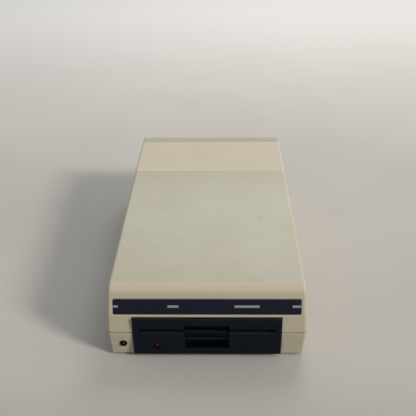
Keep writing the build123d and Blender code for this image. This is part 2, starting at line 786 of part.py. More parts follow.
def make_clamp_bridge():
    front = spindle_back - bridge_half_length
    rear = spindle_back + bridge_half_length
    plate = block(-bridge_half_width, bridge_half_width, front, rear, cross_low, cross_top)
    plate = fillet([edge for edge in plate.edges().filter_by(Axis.Z)], 5)
    tongue_end = lever_set_in + lever_front_depth + lever_back
    tongue = side_plate([(front + 1, cross_low), (front + 1, cross_top), (front - 2, cross_top),
                         (tongue_end + 22, bridge_top), (tongue_end, bridge_top),
                         (tongue_end, bridge_low), (tongue_end + 22.5, bridge_low),
                         (front - 1.5, cross_low)], -tongue_half_width, tongue_half_width)
    bridge = plate + tongue
    for x in (-8, 8):
        bridge = bridge - post(x, rivet_back(), rivet_radius + running_gap, bridge_low - 1,
                               bridge_top + 1)
    boss_top = pivot_height + pivot_boss_radius
    leg_points = [(front + 6, cross_low + 1), (rear, cross_low + 1), (pivot_back - 12, boss_top + 3),
                  (pivot_back, boss_top), (pivot_back, pivot_height - 1),
                  (pivot_back - 3, pivot_height - 1), (disk_rear_back - 2, bridge_low),
                  (rear, bridge_low), (front + 6, cross_low - 3)]
    leg = side_plate(leg_points, leg_x - leg_thickness / 2, leg_x + leg_thickness / 2)
    leg = leg + cross_pin(leg_x - leg_thickness / 2, leg_x + leg_thickness / 2, pivot_back,
                          pivot_height, pivot_boss_radius)
    leg = leg - cross_pin(leg_x - 5, leg_x + 5, pivot_back, pivot_height, pivot_radius + running_gap)
    for solid in mirrored(leg):
        bridge = bridge + solid
    lifter = block(arm_half_width + 3.5, arm_half_width + 6.5, rear - 1, head_back + 6,
                   bridge_low, bridge_low + lifter_sheet)
    lifter = lifter + block(arm_half_width + 3.5, arm_half_width + 6.5, rear - 2.5, rear - 1,
                            bridge_low, cross_low + 0.5)
    bridge = bridge + lifter
    return bridge - post(0, spindle_back, hub_pin_radius + running_gap, cross_low - 1, cross_top + 1)


def make_lever_rivets():
    rivets = []
    top = bridge_top + lever_rise
    for x in (-8, 8):
        rivet = post(x, rivet_back(), rivet_radius, bridge_low, top)
        rivet = rivet + post(x, rivet_back(), rivet_radius * 1.8, top, top + 1)
        rivets.append(rivet)
    return Compound(children=rivets)


def make_bridge_pivot_pins():
    inner = leg_x - leg_thickness / 2 - 0.8
    outer = pivot_post_x() + post_thickness
    return Compound(children=mirrored(cross_pin(inner, outer, pivot_back, pivot_height, pivot_radius)))


def pivot_post_x():
    """Inner face of the post that carries a pivot pin."""
    return leg_x + leg_thickness / 2 + 5


def make_lift_springs():
    coil_radius = pivot_radius + spring_wire + 0.4
    start = leg_x + leg_thickness / 2 + gap + spring_wire
    turns = 3
    pitch = spring_wire * 2.3
    line = Helix(pitch=pitch, height=turns * pitch, radius=coil_radius)
    section = Plane(origin=line @ 0, z_dir=line % 0) * Circle(spring_wire)
    coil = Pos(start, row(pivot_back), pivot_height) * Rot(0, 90, 0) * sweep(section, path=line)
    return Compound(children=mirrored(coil))


def make_clamp_hub():
    flange_low_z = seat_height + gap + 0.1
    cone_low = seat_height - cup_depth + gap
    cone = Pos(0, row(spindle_back), (cone_low + flange_low_z) / 2) * Cone(
        hub_cone_tip_radius, hub_cone_radius, flange_low_z - cone_low)
    flange_top = flange_low_z + hub_flange
    flange = post(0, spindle_back, hub_radius, flange_low_z, flange_top)
    flange = fillet(flange.edges().sort_by(Axis.Z)[-1], hub_flange * 0.4)
    neck = post(0, spindle_back, hub_neck_radius, flange_low_z + hub_flange / 2, flange_top + hub_neck)
    hub = cone + flange + neck
    pocket = post(0, spindle_back, hub_pin_radius + hub_pocket, cone_low - 1, cone_low + hub_pocket)
    rib_middle = (hub_neck_radius + hub_radius) / 2
    ribs = union([Pos(0, row(spindle_back), 0) * Rot(0, 0, 60 * turn) * Pos(rib_middle, 0, flange_top)
                  * Box(hub_rib_length, hub_rib, hub_rib) for turn in range(6)])
    hub = hub + ribs - pocket
    return hub - post(0, spindle_back, hub_pin_radius + running_gap, cone_low - 1,
                      flange_top + hub_neck + 1)


def make_clamp_hub_pin():
    cone_low = seat_height - cup_depth + gap
    pin = post(0, spindle_back, hub_pin_radius, cone_low + 0.4, cross_top)
    head = post(0, spindle_back, hub_pin_radius * 2, cross_top, cross_top + pin_head * 0.8)
    clip = post(0, spindle_back, hub_pin_radius + 1.7, cone_low + 0.4, cone_low + 1.7)
    return pin + head + clip


def make_hub_spring():
    low = seat_height + gap + 0.1 + hub_flange + hub_neck + gap
    wire = 0.45
    turns = 3.5
    height = cross_low - low - 2 * wire
    line = Helix(pitch=height / turns, height=height, radius=hub_pin_radius + 2)
    section = Plane(origin=line @ 0, z_dir=line % 0) * Circle(wire)
    return Pos(0, row(spindle_back), low + wire) * sweep(section, path=line)


# ---------------------------------------------------------------- chassis and disk drive

def rod_block(x, back0, back1):
    """Block that holds one end of a guide rod."""
    return block(x - 4.5, x + 4.5, back0, back1, plate_top - 0.5, slot_low - 0.4)


def rod_ends():
    """Setbacks of the guide rods' two ends."""
    return carriage_front_back - head_travel - rod_margin, carriage_rear_back + rod_tail


def make_drive_chassis():
    rear = chassis_rear_back
    chassis = block(-chassis_half, chassis_half, bezel_depth, rear, plate_low, plate_top)
    for side in mirrored(block(chassis_inner, chassis_half, bezel_depth, rear, wall_low, wall_top)):
        chassis = chassis + side
    tab = block(chassis_half - 13, chassis_half - 1, bezel_depth, bezel_depth + 3, wall_low, plate_low + 1)
    for solid in mirrored(tab):
        chassis = chassis + solid
    for back in ear_backs:
        ear = block(chassis_half - 1, chassis_half + ear_length, back - 5, back + 5, wall_low,
                    wall_low + ear_thickness)
        for solid in mirrored(ear):
            chassis = chassis + solid
    boss = post(0, spindle_back, bearing_radius + bearing_boss_wall, bearing_low, bearing_high)
    chassis = chassis + boss
    front_end, rear_end = rod_ends()
    for x in (-rod_spacing / 2, rod_spacing / 2):
        chassis = chassis + rod_block(x, front_end, front_end + 4) + rod_block(x, rear_end - 4, rear_end)
    inner = pivot_post_x()
    pivot_post = block(inner, inner + post_thickness, pivot_back - 4, pivot_back + 4,
                       plate_top - 0.5, pivot_height)
    pivot_post = pivot_post + cross_pin(inner, inner + post_thickness, pivot_back, pivot_height, 4)
    stop = block(disk_stop_x, disk_stop_x + disk_stop_width, disk_rear_back + gap,
                 disk_rear_back + gap + disk_stop_sheet, plate_top - 0.5, slot_top + 1)
    for solid in mirrored(pivot_post + stop):
        chassis = chassis + solid
    for x, back in drive_board_posts():
        chassis = chassis + post(x, back, 3.2, plate_top - 0.5, drive_board_low())
    return chassis - union(chassis_holes())


def chassis_holes():
    """Every hole in the chassis: bearings, pins, rods, screws and shafts."""
    upper = bearing_high - bearing_width
    holes = [post(0, spindle_back, bearing_radius + running_gap, bearing_low - 1,
                  bearing_low + bearing_width),
             post(0, spindle_back, bearing_radius + running_gap, upper, bearing_high + 1),
             post(0, spindle_back, spindle_radius + 2.5, bearing_low - 1, bearing_high + 1),
             post(motor_x, motor_back, motor_shaft_radius + 2, plate_low - 1, plate_top + 1)]
    front_end, rear_end = rod_ends()
    rod_height = plate_top + rod_over_plate
    for x in (-rod_spacing / 2, rod_spacing / 2):
        holes.append(deep_pin(x, front_end - 1, rear_end + 1, rod_height, rod_radius + running_gap))
    for back in ear_backs:
        holes += mirrored(post(ear_screw_x, back, screw_radius + running_gap, wall_low - 1,
                               wall_low + ear_thickness + 1))
    pins = cross_pin(pivot_post_x() - 1, pivot_post_x() + post_thickness + 1, pivot_back, pivot_height,
                     pivot_radius + running_gap)
    tabs = deep_pin(chassis_half - bezel_screw_to_side, bezel_depth - 1, bezel_depth + 4,
                    wall_low + bezel_screw_height, screw_radius + running_gap)
    holes += mirrored(pins) + mirrored(tabs)
    for x, back in drive_board_posts():
        holes.append(post(x, back, screw_radius + running_gap, drive_board_low() - 8,
                          drive_board_low() + 1))
    for x, back in plate_screws():
        holes.append(post(x, back, screw_radius + running_gap, plate_low - 1, plate_top + 1))
    for back in rail_screw_backs():
        hole = cross_pin(chassis_inner - 1, chassis_half + 1, back, plate_top + rail_screw_over_plate,
                         screw_radius + running_gap)
        holes += mirrored(hole)
    return holes


def plate_screws():
    """Places of the screws that go down into the chassis plate."""
    return [(stepper_x + stepper_radius + 0.8, stepper_back + dy) for dy in (-11, 11)]


def rail_screw_backs():
    """Setbacks of the screws between a board rail and the chassis."""
    return (60.0, chassis_rear_back - 40)


def make_disk_guide(side):
    """Channel that guides the disk's edge, on the left (-1) or right (+1) side wall."""
    front = bezel_depth + 2
    rear = disk_rear_back
    web = block(guide_x, chassis_inner, front, rear, slot_low - 3, slot_top + 2.2)
    low = block(guide_x - guide_ledge, guide_x + 0.5, front, rear, slot_low - 3, slot_low)
    high = block(guide_x - 3.5, guide_x + 0.5, front, rear, slot_top, slot_top + 2.2)
    legs = [block(guide_x - guide_ledge, guide_x - guide_ledge + 3, back, back + 6, plate_top, slot_low - 2)
            for back in (front + 4, rear - 12)]
    guide = union([web, low, high] + legs)
    if side < 0:
        start = sensor_back() - 7.5
        guide = guide - block(0, chassis_inner + 1, start, start + 15, plate_top - 1, slot_top + 5)
        guide = mirror(guide, Plane.YZ)
    return guide


def sensor_back():
    """Setback of the write-protect sensor, where a disk has its notch."""
    return disk_inset + 38.0


def make_write_protect_sensor():
    back = sensor_back()
    outer = chassis_inner - 0.2
    low = block(-outer, -outer + 9, back - 5, back + 5, plate_top, slot_low - 0.2)
    high = block(-outer, -outer + 9, back - 4, back + 4, slot_top + 0.3, slot_top + 6)
    web = block(-outer, -guide_x - 0.2, back - 4, back + 4, slot_low - 1, slot_top + 1)
    return low + high + web


def make_spindle():
    flange = post(0, spindle_back, spindle_flange_radius, flange_low, seat_height)
    flange = chamfer(flange.edges().sort_by(Axis.Z)[-1], 0.5)
    cup = post(0, spindle_back, cup_radius, seat_height - cup_depth, seat_height + 1)
    shaft = post(0, spindle_back, spindle_radius, flywheel_low + 0.2, flange_low + 0.5)
    return flange - cup + shaft


def make_spindle_bearings():
    bearings = []
    for low in (bearing_low, bearing_high - bearing_width):
        ring = post(0, spindle_back, bearing_radius, low, low + bearing_width)
        ring = ring - post(0, spindle_back, spindle_radius + running_gap, low - 1, low + bearing_width + 1)
        groove = post(0, spindle_back, bearing_radius - 1.6, low + bearing_width - 0.4,
                      low + bearing_width + 1)
        groove = groove - post(0, spindle_back, spindle_radius + 1.4, low, low + bearing_width + 2)
        bearings.append(ring - groove)
    return Compound(children=bearings)


def make_flywheel():
    top = flywheel_low + flywheel_thickness
    wheel = post(0, spindle_back, flywheel_radius, flywheel_low, top)
    dish = post(0, spindle_back, flywheel_radius - 7, top - 1.6, top + 1)
    dish = dish - post(0, spindle_back, 8, top - 3, top + 2)
    wheel = wheel - dish
    for turn in range(6):
        angle = math.radians(60 * turn + 15)
        x = 23 * math.cos(angle)
        back = spindle_back + 23 * math.sin(angle)
        wheel = wheel - post(x, back, 6, flywheel_low - 1, top + 1)
    return wheel - post(0, spindle_back, spindle_radius + running_gap, flywheel_low - 1, top + 1)


def belt_face(extra):
    """Flat outline round flywheel and pulley, standing off both by extra."""
    with BuildSketch() as outline:
        with Locations((0, row(spindle_back))):
            Circle(flywheel_radius + extra)
        with Locations((motor_x, row(motor_back))):
            Circle(pulley_radius + extra)
        make_hull()
    return outline.sketch


def make_drive_belt():
    low = flywheel_low + (flywheel_thickness - belt_width) / 2
    ring = belt_face(gap + belt_thickness) - belt_face(gap)
    return Pos(0, 0, low) * extrude(ring, amount=belt_width)


def make_spindle_motor():
    top = plate_top + motor_height
    can = post(motor_x, motor_back, motor_radius, plate_top, top)
    can = fillet(can.edges().sort_by(Axis.Z)[-1], 1.5)
    cap = post(motor_x, motor_back, motor_radius * 0.55, top - 1, top + 1.2)
    neck = post(motor_x, motor_back, motor_shaft_radius + 1.9, plate_low, plate_top + 1)
    bore = post(motor_x, motor_back, motor_shaft_radius + running_gap, plate_low - 1, top - 5)
    return can + cap + neck - bore


def make_motor_pulley():
    top = plate_top + motor_height - 5.5
    wheel = post(motor_x, motor_back, pulley_radius, flywheel_low, flywheel_low + flywheel_thickness)
    hub = post(motor_x, motor_back, motor_shaft_radius + 2, flywheel_low + 1, plate_low - 1)
    shaft = post(motor_x, motor_back, motor_shaft_radius, flywheel_low, top)
    return wheel + hub + shaft


# ---------------------------------------------------------------- head carriage

def make_guide_rods():
    front_end, rear_end = rod_ends()
    rods = [deep_pin(x, front_end, rear_end, plate_top + rod_over_plate, rod_radius)
            for x in (-rod_spacing / 2, rod_spacing / 2)]
    return Compound(children=rods)


def make_head_carriage():
    low = plate_top + 1.4
    top = low + carriage_height
    half = carriage_half_width
    body = block(-half, half, carriage_front_back, carriage_rear_back, low, top)
    body = body - block(-rod_spacing / 2 + 6, rod_spacing / 2 - 6, carriage_front_back + 12.5,
                        carriage_rear_back - 7, low - 1, low + 3)
    for x in (-rod_spacing / 2, rod_spacing / 2):
        body = body - deep_pin(x, carriage_front_back - 1, carriage_rear_back + 1,
                               plate_top + rod_over_plate, rod_radius + running_gap)
    for x in (-11, 11):
        body = body - block(x - 3, x + 3, carriage_front_back + 3, carriage_rear_back - 8, top - 2, top + 1)
    hinge_back = head_back + arm_hinge_behind_head
    arm_low = seat_height + arm_over_seat
    pillar = block(-arm_half_width + 1, arm_half_width - 1, hinge_back - 2.5, hinge_back + 2.5,
                   top - 1, arm_low - 4 * gap)
    ears = mirrored(block(arm_half_width + gap, arm_half_width + gap + 2, hinge_back - 3,
                          hinge_back + 3, top - 1, arm_low + 4))
    hinge = cross_pin(-arm_half_width - gap - 2, arm_half_width + gap + 2, hinge_back,
                      arm_low + arm_sheet / 2 + 0.6, 1.0)
    clip = block(half - 0.5, half + band_offset() - band_sheet, carriage_front_back + 3,
                 carriage_front_back + 9, low, low + capstan_height - 1)
    body = union([body, pillar, clip] + ears + [hinge])
    return body - post(0, head_back, head_radius + 1 + running_gap, low - 1, top + 1)


def band_offset():
    """From the carriage's side to the outer face of the flat band."""
    return stepper_x - capstan_radius - band_sheet - gap / 2 - carriage_half_width


def make_magnetic_head():
    low = plate_top + 1.4
    tip = seat_height + head_over_seat
    shell = post(0, head_back, head_radius + 1, low + 0.5, tip - 1.2)
    tip_block = block(-1.8, 1.8, head_back - head_radius * 0.8, head_back + head_radius * 0.8,
                      tip - 2, tip)
    tip_block = fillet(tip_block.edges().filter_by(Axis.X).group_by(Axis.Z)[-1], 0.8)
    return shell + tip_block


def make_pressure_arm():
    hinge_back = head_back + arm_hinge_behind_head
    low = seat_height + arm_over_seat
    arm = block(-arm_half_width, arm_half_width, head_back - 4, hinge_back + 2.5, low, low + arm_sheet)
    arm = fillet([edge for edge in arm.edges().filter_by(Axis.Z)
                  if edge.center().Y < row(head_back)], 3)
    barrel = cross_pin(-arm_half_width, arm_half_width, hinge_back, low + arm_sheet / 2 + 0.6, 2.4)
    tab = block(arm_half_width - 1, arm_half_width + 7, head_back - 3, head_back + 3, low, low + 1.2)
    hole = cross_pin(-arm_half_width - 1, arm_half_width + 1, hinge_back,
                     low + arm_sheet / 2 + 0.6, 1.0 + running_gap)
    pad_hole = post(0, head_back, felt_radius * 0.5 + running_gap, low - 1, low + arm_sheet + 1)
    barrel = barrel - block(-20, 20, hinge_back - 5, hinge_back + 5, low - 5, low)
    return arm + barrel + tab - hole - pad_hole


def make_felt_pad():
    low = seat_height + arm_over_seat
    pad = post(0, head_back, felt_radius, seat_height + head_over_seat + 0.4, low)
    return pad + post(0, head_back, felt_radius * 0.5, low - 0.5, low + 1.2)


def make_stepper_motor():
    low = stepper_plate_top()
    can = post(stepper_x, stepper_back, stepper_radius, low, low + stepper_height)
    can = fillet(can.edges().sort_by(Axis.Z)[-1], 1.2)
    bore = post(stepper_x, stepper_back, 1.5 + running_gap, low - 2.5, low + 6)
    neck = post(stepper_x, stepper_back, 4.5, low - 2, low)
    return can + neck - bore


def stepper_plate_top():
    """Upper face of the bracket's plate, which carries the stepper motor."""
    return plate_top + 2.4 + capstan_height + 1 + 2.0


def make_stepper_bracket():
    top = stepper_plate_top()
    reach = stepper_radius
    bracket = block(stepper_x - reach, stepper_x + reach - 1, stepper_back - reach,
                    stepper_back + reach, top - 2, top)
    leg = block(stepper_x + reach - 5, stepper_x + reach - 3, stepper_back - reach,
                stepper_back + reach, plate_top, top)
    foot = block(stepper_x + reach - 5, stepper_x + reach + 4, stepper_back - reach,
                 stepper_back + reach, plate_top, plate_top + 1.5)
    bracket = bracket + leg + foot
    bracket = bracket - post(stepper_x, stepper_back, 4.5 + running_gap, top - 3, top + 1)
    for x, back in plate_screws():
        bracket = bracket - post(x, back, screw_radius + running_gap, plate_top - 1, plate_top + 2)
    return bracket


def make_capstan():
    low = plate_top + 2.4
    drum = post(stepper_x, stepper_back, capstan_radius, low, low + capstan_height)
    shaft = post(stepper_x, stepper_back, 1.5, low + 1, stepper_plate_top() + 5.5)
    return drum + shaft


def make_band_strip():
    outer = carriage_half_width + band_offset()
    low = plate_top + 3.2
    return block(outer - band_sheet, outer, carriage_front_back + 3, stepper_back + 3, low, low + 4)


def make_track_zero_stop():
    back = carriage_rear_back + gap
    stop = block(-5, 5, back, back + 5, plate_top, plate_top + 7)
    base = block(-5, 5, back + 1, back + 12, plate_top, plate_top + 1.5)
    return stop + base


# ---------------------------------------------------------------- boards

def drive_board_low():
    """Underside of the small board over the head's drive."""
    return stepper_plate_top() + stepper_height + 3


def drive_board_posts():
    """Places of the four posts under the small board."""
    half = chassis_inner - 8
    return [(x, back) for x in (-half, half) for back in (pivot_back + 9, chassis_rear_back - 4)]


def make_drive_board():
    half = chassis_inner - 4
    low = drive_board_low()
    board = block(-half, half, pivot_back + 4, chassis_rear_back, low, low + board_sheet)
    for x, back in drive_board_posts():
        board = board - post(x, back, screw_radius + running_gap, low - 1, low + 3)
    return board


def spread(middle, pitch, count):
    """Evenly spaced places about a middle."""
    return [middle + (number - (count - 1) / 2) * pitch for number in range(count)]


def chip(x, back, length, width, z, height):
    """Chip package with its length along Y, on two rows of leads."""
    body = block(x - width / 2, x + width / 2, back - length / 2, back + length / 2, z + 0.8, z + height)
    legs = []
    for side in (-1, 1):
        middle = x + side * (width / 2 + 0.1)
        legs.append(block(middle - lead_width / 2, middle + lead_width / 2, back - length / 2 + 1,
                          back + length / 2 - 1, z, z + height * 0.55))
    return union([body] + legs)


def make_drive_board_parts():
    top = drive_board_low() + board_sheet
    parts = [chip(x, pivot_back + drive_chip_row, drive_chip_length, drive_chip_width, top,
                  drive_chip_height) for x in spread(0, drive_chip_pitch, 4)]
    front = chassis_rear_back - drive_connector_to_rear
    half = drive_connector_length / 2
    parts += [block(x - half, x + half, front, front + drive_connector_width, top,
                    top + drive_connector_height) for x in spread(0, drive_connector_pitch, 3)]
    return Compound(children=parts)


def rail_x():
    """Outer face of a board rail's upright sheet."""
    return chassis_half + rail_sheet


def rail_backs():
    """Setbacks of a board rail's two ends."""
    return board_front_back + 15, board_rear_back - 5


def make_board_rails():
    front, rear = rail_backs()
    x = rail_x()
    upright = block(chassis_half, x, front, rear, plate_top + 1, board_low)
    flange = block(x - rail_flange, x, front, rear, board_low - rail_sheet, board_low)
    leg = block(chassis_half, x, rear - 18, rear, floor_top, board_low)
    foot = block(chassis_half, x + 8, rear - 18, rear, floor_top, floor_top + rail_sheet)
    rail = upright + flange + leg + foot
    for back in rail_screw_backs():
        rail = rail - cross_pin(chassis_half - 1, x + 1, back, plate_top + rail_screw_over_plate,
                                screw_radius + running_gap)
    for back in board_screw_backs():
        rail = rail - post(board_screw_x(), back, screw_radius + running_gap, board_low - 2, board_low + 1)
    return Compound(children=mirrored(rail))


def board_screw_x():
    """The main board's screws, along the rails' flanges."""
    return rail_x() - rail_flange * 0.55


def board_screw_backs():
    """Setbacks of the main board's screws."""
    front, rear = rail_backs()
    return [front + 8, (front + rear) / 2, rear - 8]


def make_main_board():
    board = block(-board_half, board_half, board_front_back, board_rear_back, board_low, board_top)
    for back in board_screw_backs():
        for solid in mirrored(post(board_screw_x(), back, screw_radius + running_gap, board_low - 1,
                                   board_top + 1)):
            board = board - solid
    return board


def make_chip_packages():
    back = board_front_back + board_length * large_chip_row_share
    chips = []
    for number, x in enumerate(spread(0, large_chip_pitch, 5)):
        length = large_chip_length if number < 3 else medium_chip_length
        chips.append(chip(x, back, length, large_chip_width, board_top, chip_height))
    for share in (small_chip_row_share, second_chip_row_share):
        back = board_front_back + board_length * share
        chips += [chip(x, back, small_chip_length, small_chip_width, board_top, chip_height)
                  for x in spread(0, small_chip_pitch, 7)]
    return Compound(children=chips)


def make_smoothing_capacitors():
    back = board_front_back + board_length * capacitor_row_share
    cans = []
    for x in spread(capacitor_x, capacitor_pitch, 2):
        can = post(x, back, capacitor_radius, board_top, board_top + capacitor_height)
        can = fillet(can.edges().sort_by(Axis.Z)[-1], capacitor_radius * 0.11)
        cans.append(can)
    for x in spread(small_capacitor_x, small_capacitor_pitch, 3):
        cans.append(post(x, back, small_capacitor_radius, board_top, board_top + small_capacitor_height))
    return Compound(children=cans)


def sink_back():
    """Setback of the heat sink's front face."""
    return board_rear_back - sink_to_rear


def make_heat_sink():
    back = sink_back()
    top = board_top + sink_height
    half = sink_length / 2
    sink = block(sink_x - half, sink_x + half, back, back + sink_sheet, board_top, top)
    for x in spread(sink_x, fin_pitch, 8):
        sink = sink + block(x - fin_sheet / 2, x + fin_sheet / 2, back + sink_sheet - 1,
                            back + sink_sheet - 1 + fin_depth, board_top, top)
    return sink


def make_power_semiconductors():
    back = sink_back()
    low = board_top + regulator_stand
    half = regulator_width / 2
    parts = []
    for x in spread(regulator_x, regulator_pitch, 2):
        body = block(x - half, x + half, back - regulator_thickness, back, low, low + regulator_height)
        middle = back - regulator_thickness / 2
        leads = block(x - half * 0.8, x + half * 0.8, middle - lead_width / 2, middle + lead_width / 2,
                      board_top, low + 1)
        parts.append(body + leads)
    half = rectifier_width / 2
    front = back - 2 * rectifier_thickness
    for x in spread(rectifier_x, rectifier_pitch, 2):
        parts.append(block(x - half, x + half, front, front + rectifier_thickness, board_top,
                           board_top + regulator_height))
    return Compound(children=parts)


def make_board_connectors():
    front = board_front_back + board_length * connector_row_share - connector_width / 2
    half = connector_length / 2
    top = board_top + connector_height
    parts = [block(x - half, x + half, front, front + connector_width, board_top, top)
             for x in spread(connector_x, connector_pitch, 3)]
    rear = board_rear_back - 1
    parts += [block(x - half * 0.9, x + half * 0.9, rear - connector_width, rear, board_top, top)
              for x in spread(rear_connector_x, rear_connector_pitch, 2)]
    return Compound(children=parts)


def make_board_screws():
    screws = []
    for back in board_screw_backs():
        screws += mirrored(screw(board_screw_x(), back, board_top, 4))
    for x, back in drive_board_posts():
        screws.append(screw(x, back, drive_board_low() + board_sheet, 8))
    return Compound(children=screws)


def side_screw(back):
    """Screw from the outside of a board rail into the chassis, along X."""
    z = plate_top + rail_screw_over_plate
    head = cross_pin(rail_x(), rail_x() + screw_head, back, z, screw_head_radius)
    return head + cross_pin(chassis_inner + 0.2, rail_x(), back, z, screw_radius)


def bezel_screw():
    """Screw from behind a chassis tab into the bezel's post, along Y."""
    x = chassis_half - bezel_screw_to_side
    z = wall_low + bezel_screw_height
    seat = bezel_depth + 3
    return deep_pin(x, seat, seat + screw_head, z, screw_head_radius) + deep_pin(
        x, bezel_wall + 1.5, seat, z, screw_radius)


def make_mechanism_screws():
    screws = []
    for back in ear_backs:
        screws += mirrored(screw(ear_screw_x, back, wall_low + ear_thickness, ear_thickness + 2))
    for back in rail_screw_backs():
        screws += mirrored(side_screw(back))
    screws += mirrored(bezel_screw())
    for x, back in plate_screws():
        screws.append(screw(x, back, plate_top + 1.5, plate_screw_length))
    for dx, dy in transformer_feet():
        screws.append(screw(transformer_x + dx, transformer_middle() + dy,
                            floor_top + transformer_over_floor + 1.5, foot_screw_length))
    return Compound(children=screws)


# ---------------------------------------------------------------- power supply and rear panel

def transformer_middle():
    """Setback of the transformer's middle."""
    return transformer_back + transformer_length / 2


def transformer_feet():
    """Offsets of the transformer's screws from its middle."""
    return [(side * (core_width / 2 + 4), 0) for side in (-1, 1)]


def core_low():
    """Underside of the transformer's core."""
    return floor_top + transformer_over_floor


def make_transformer_core():
    back = transformer_middle()
    low = core_low()
    front, rear = back - core_depth / 2, back + core_depth / 2
    half = core_width / 2
    core = block(transformer_x - half, transformer_x + half, front, rear, low, low + core_height)
    for side in (-1, 1):
        x = transformer_x + side * (core_limb + core_limb / 2)
        core = core - block(x - core_limb / 2, x + core_limb / 2, front - 1, rear + 1,
                            low + core_limb, low + core_height - core_limb)
    feet = block(transformer_x - half - 8, transformer_x + half + 8, back - 7, back + 7, low, low + 1.5)
    core = core + feet
    for dx, dy in transformer_feet():
        core = core - post(transformer_x + dx, back + dy, screw_radius + running_gap, low - 1, low + 2)
    return core


def make_transformer_winding():
    back = transformer_middle()
    low = core_low() + core_limb + gap
    top = core_low() + core_height - core_limb - gap
    reach = 2 * core_limb - gap
    deep = transformer_length / 2
    winding = block(transformer_x - reach, transformer_x + reach, back - deep, back + deep, low, top)
    winding = fillet(winding.edges().filter_by(Axis.Z), 4)
    hole = block(transformer_x - core_limb - gap, transformer_x + core_limb + gap,
                 back - core_depth / 2 - gap, back + core_depth / 2 + gap, low - 1, top + 1)
    return winding - hole


def inlet_ear_xs():
    """The power inlet's two screws."""
    return inlet_x - inlet_ear, inlet_x + inlet_ear


def serial_ear_xs(x):
    """A serial socket's two screws."""
    return x - serial_ear, x + serial_ear


def make_rear_panel():
    panel = block(-panel_half_width, panel_half_width, panel_back, panel_back + panel_sheet,
                  floor_top, panel_top)
    front, rear = panel_back - 1, panel_back + panel_sheet + 1
    z = socket_row_height
    half_x = inlet_width / 2 + inlet_wall + gap
    half_z = inlet_height / 2 + inlet_wall + gap
    cuts = [block(inlet_x - half_x, inlet_x + half_x, front, rear, z - half_z, z + half_z),
            deep_pin(fuse_x, front, rear, z, fuse_body_radius + 3 * running_gap),
            block(switch_x - switch_half_width - gap, switch_x + switch_half_width + gap, front, rear,
                  z - switch_half_height - gap, z + switch_half_height + gap)]
    holes = list(inlet_ear_xs())
    for x in serial_xs:
        cuts.append(deep_pin(x, front, rear, z, serial_radius + gap))
        holes += serial_ear_xs(x)
    cuts += [deep_pin(x, front, rear, z, screw_radius + running_gap) for x in holes]
    return panel - union(cuts)


def panel_face():
    """Setback of the rear panel's outer face."""
    return panel_back + panel_sheet


def make_power_inlet():
    face = panel_face()
    z = socket_row_height
    half_x, half_z = inlet_width / 2 + inlet_wall, inlet_height / 2 + inlet_wall
    body = block(inlet_x - half_x, inlet_x + half_x, face - inlet_depth - inlet_wall, face + 1,
                 z - half_z, z + half_z)
    flange = block(inlet_x - inlet_flange_half, inlet_x + inlet_flange_half, face, face + flange_sheet,
                   z - inlet_flange_height / 2, z + inlet_flange_height / 2)
    flange = chamfer(flange.edges().filter_by(Axis.Y), inlet_flange_height / 4)
    rim = block(inlet_x - half_x, inlet_x + half_x, face, face + inlet_rim, z - half_z, z + half_z)
    inlet = body + flange + rim
    mouth = block(inlet_x - inlet_width / 2, inlet_x + inlet_width / 2, face + inlet_rim - inlet_depth,
                  face + inlet_rim + 1, z - inlet_height / 2, z + inlet_height / 2)
    mouth = chamfer(mouth.edges().filter_by(Axis.Y).group_by(Axis.Z)[-1], inlet_height * 0.26)
    inlet = inlet - mouth
    for x in inlet_ear_xs():
        inlet = inlet - deep_pin(x, face - 1, face + flange_sheet + 1, z, screw_radius + running_gap)
    for dx, dz in inlet_pin_places():
        inlet = inlet - block(inlet_x + dx - 1 - running_gap, inlet_x + dx + 1 + running_gap,
                              face - inlet_depth - 3, face, z + dz - 2 - running_gap,
                              z + dz + 2 + running_gap)
    return inlet


def inlet_pin_places():
    """Offsets of the inlet's three pins from its middle."""
    return (-7.0, -1.5), (0.0, 2.5), (7.0, -1.5)


def make_inlet_pins():
    face = panel_face()
    pins = []
    for dx, dz in inlet_pin_places():
        x, z = inlet_x + dx, socket_row_height + dz
        pins.append(block(x - 1, x + 1, face - inlet_depth - 6, face - 1.5, z - 2, z + 2))
    return Compound(children=pins)


def make_fuse_holder():
    face = panel_face()
    z = socket_row_height
    flange = deep_pin(fuse_x, face, face + 1.5, z, fuse_flange_radius)
    body = deep_pin(fuse_x, face - fuse_length, face + 1, z, fuse_body_radius)
    hole = deep_pin(fuse_x, face - fuse_length * 0.86, face + 2, z, fuse_stem_radius + running_gap)
    return flange + body - hole


def make_fuse_cap():
    face = panel_face()
    z = socket_row_height
    cap = deep_pin(fuse_x, face + 1.5 + gap, face + 4.5, z, fuse_cap_radius)
    cap = chamfer(cap.edges().sort_by(Axis.Y)[-1], 0.8)
    stem = deep_pin(fuse_x, face - fuse_length * 0.7, face + 2.5, z, fuse_stem_radius)
    half = fuse_cap_radius * 0.7
    slot = block(fuse_x - half, fuse_x + half, face + 3.4, face + 6, z - 0.8, z + 0.8)
    return cap + stem - slot


def make_switch_body():
    face = panel_face()
    z = socket_row_height
    flange = block(switch_x - switch_flange_half, switch_x + switch_flange_half, face, face + 1.8,
                   z - switch_flange_height / 2, z + switch_flange_height / 2)
    body = block(switch_x - switch_half_width, switch_x + switch_half_width, face - switch_depth,
                 face + 1, z - switch_half_height, z + switch_half_height)
    inner = switch_half_width - 1.2
    hole = block(switch_x - inner, switch_x + inner, face - switch_depth / 2, face + 3,
                 z - switch_half_height + 0.9, z + switch_half_height - 0.9)
    tabs = [block(switch_x - 2.4, switch_x + 2.4, face - switch_depth - 6, face - switch_depth + 1,
                  z + dz - 0.4, z + dz + 0.4) for dz in (-6, 6)]
    pin = cross_pin(switch_x - inner - 0.7, switch_x + inner + 0.7, face - 3, z, 1.0)
    return union([flange + body - hole, pin] + tabs)


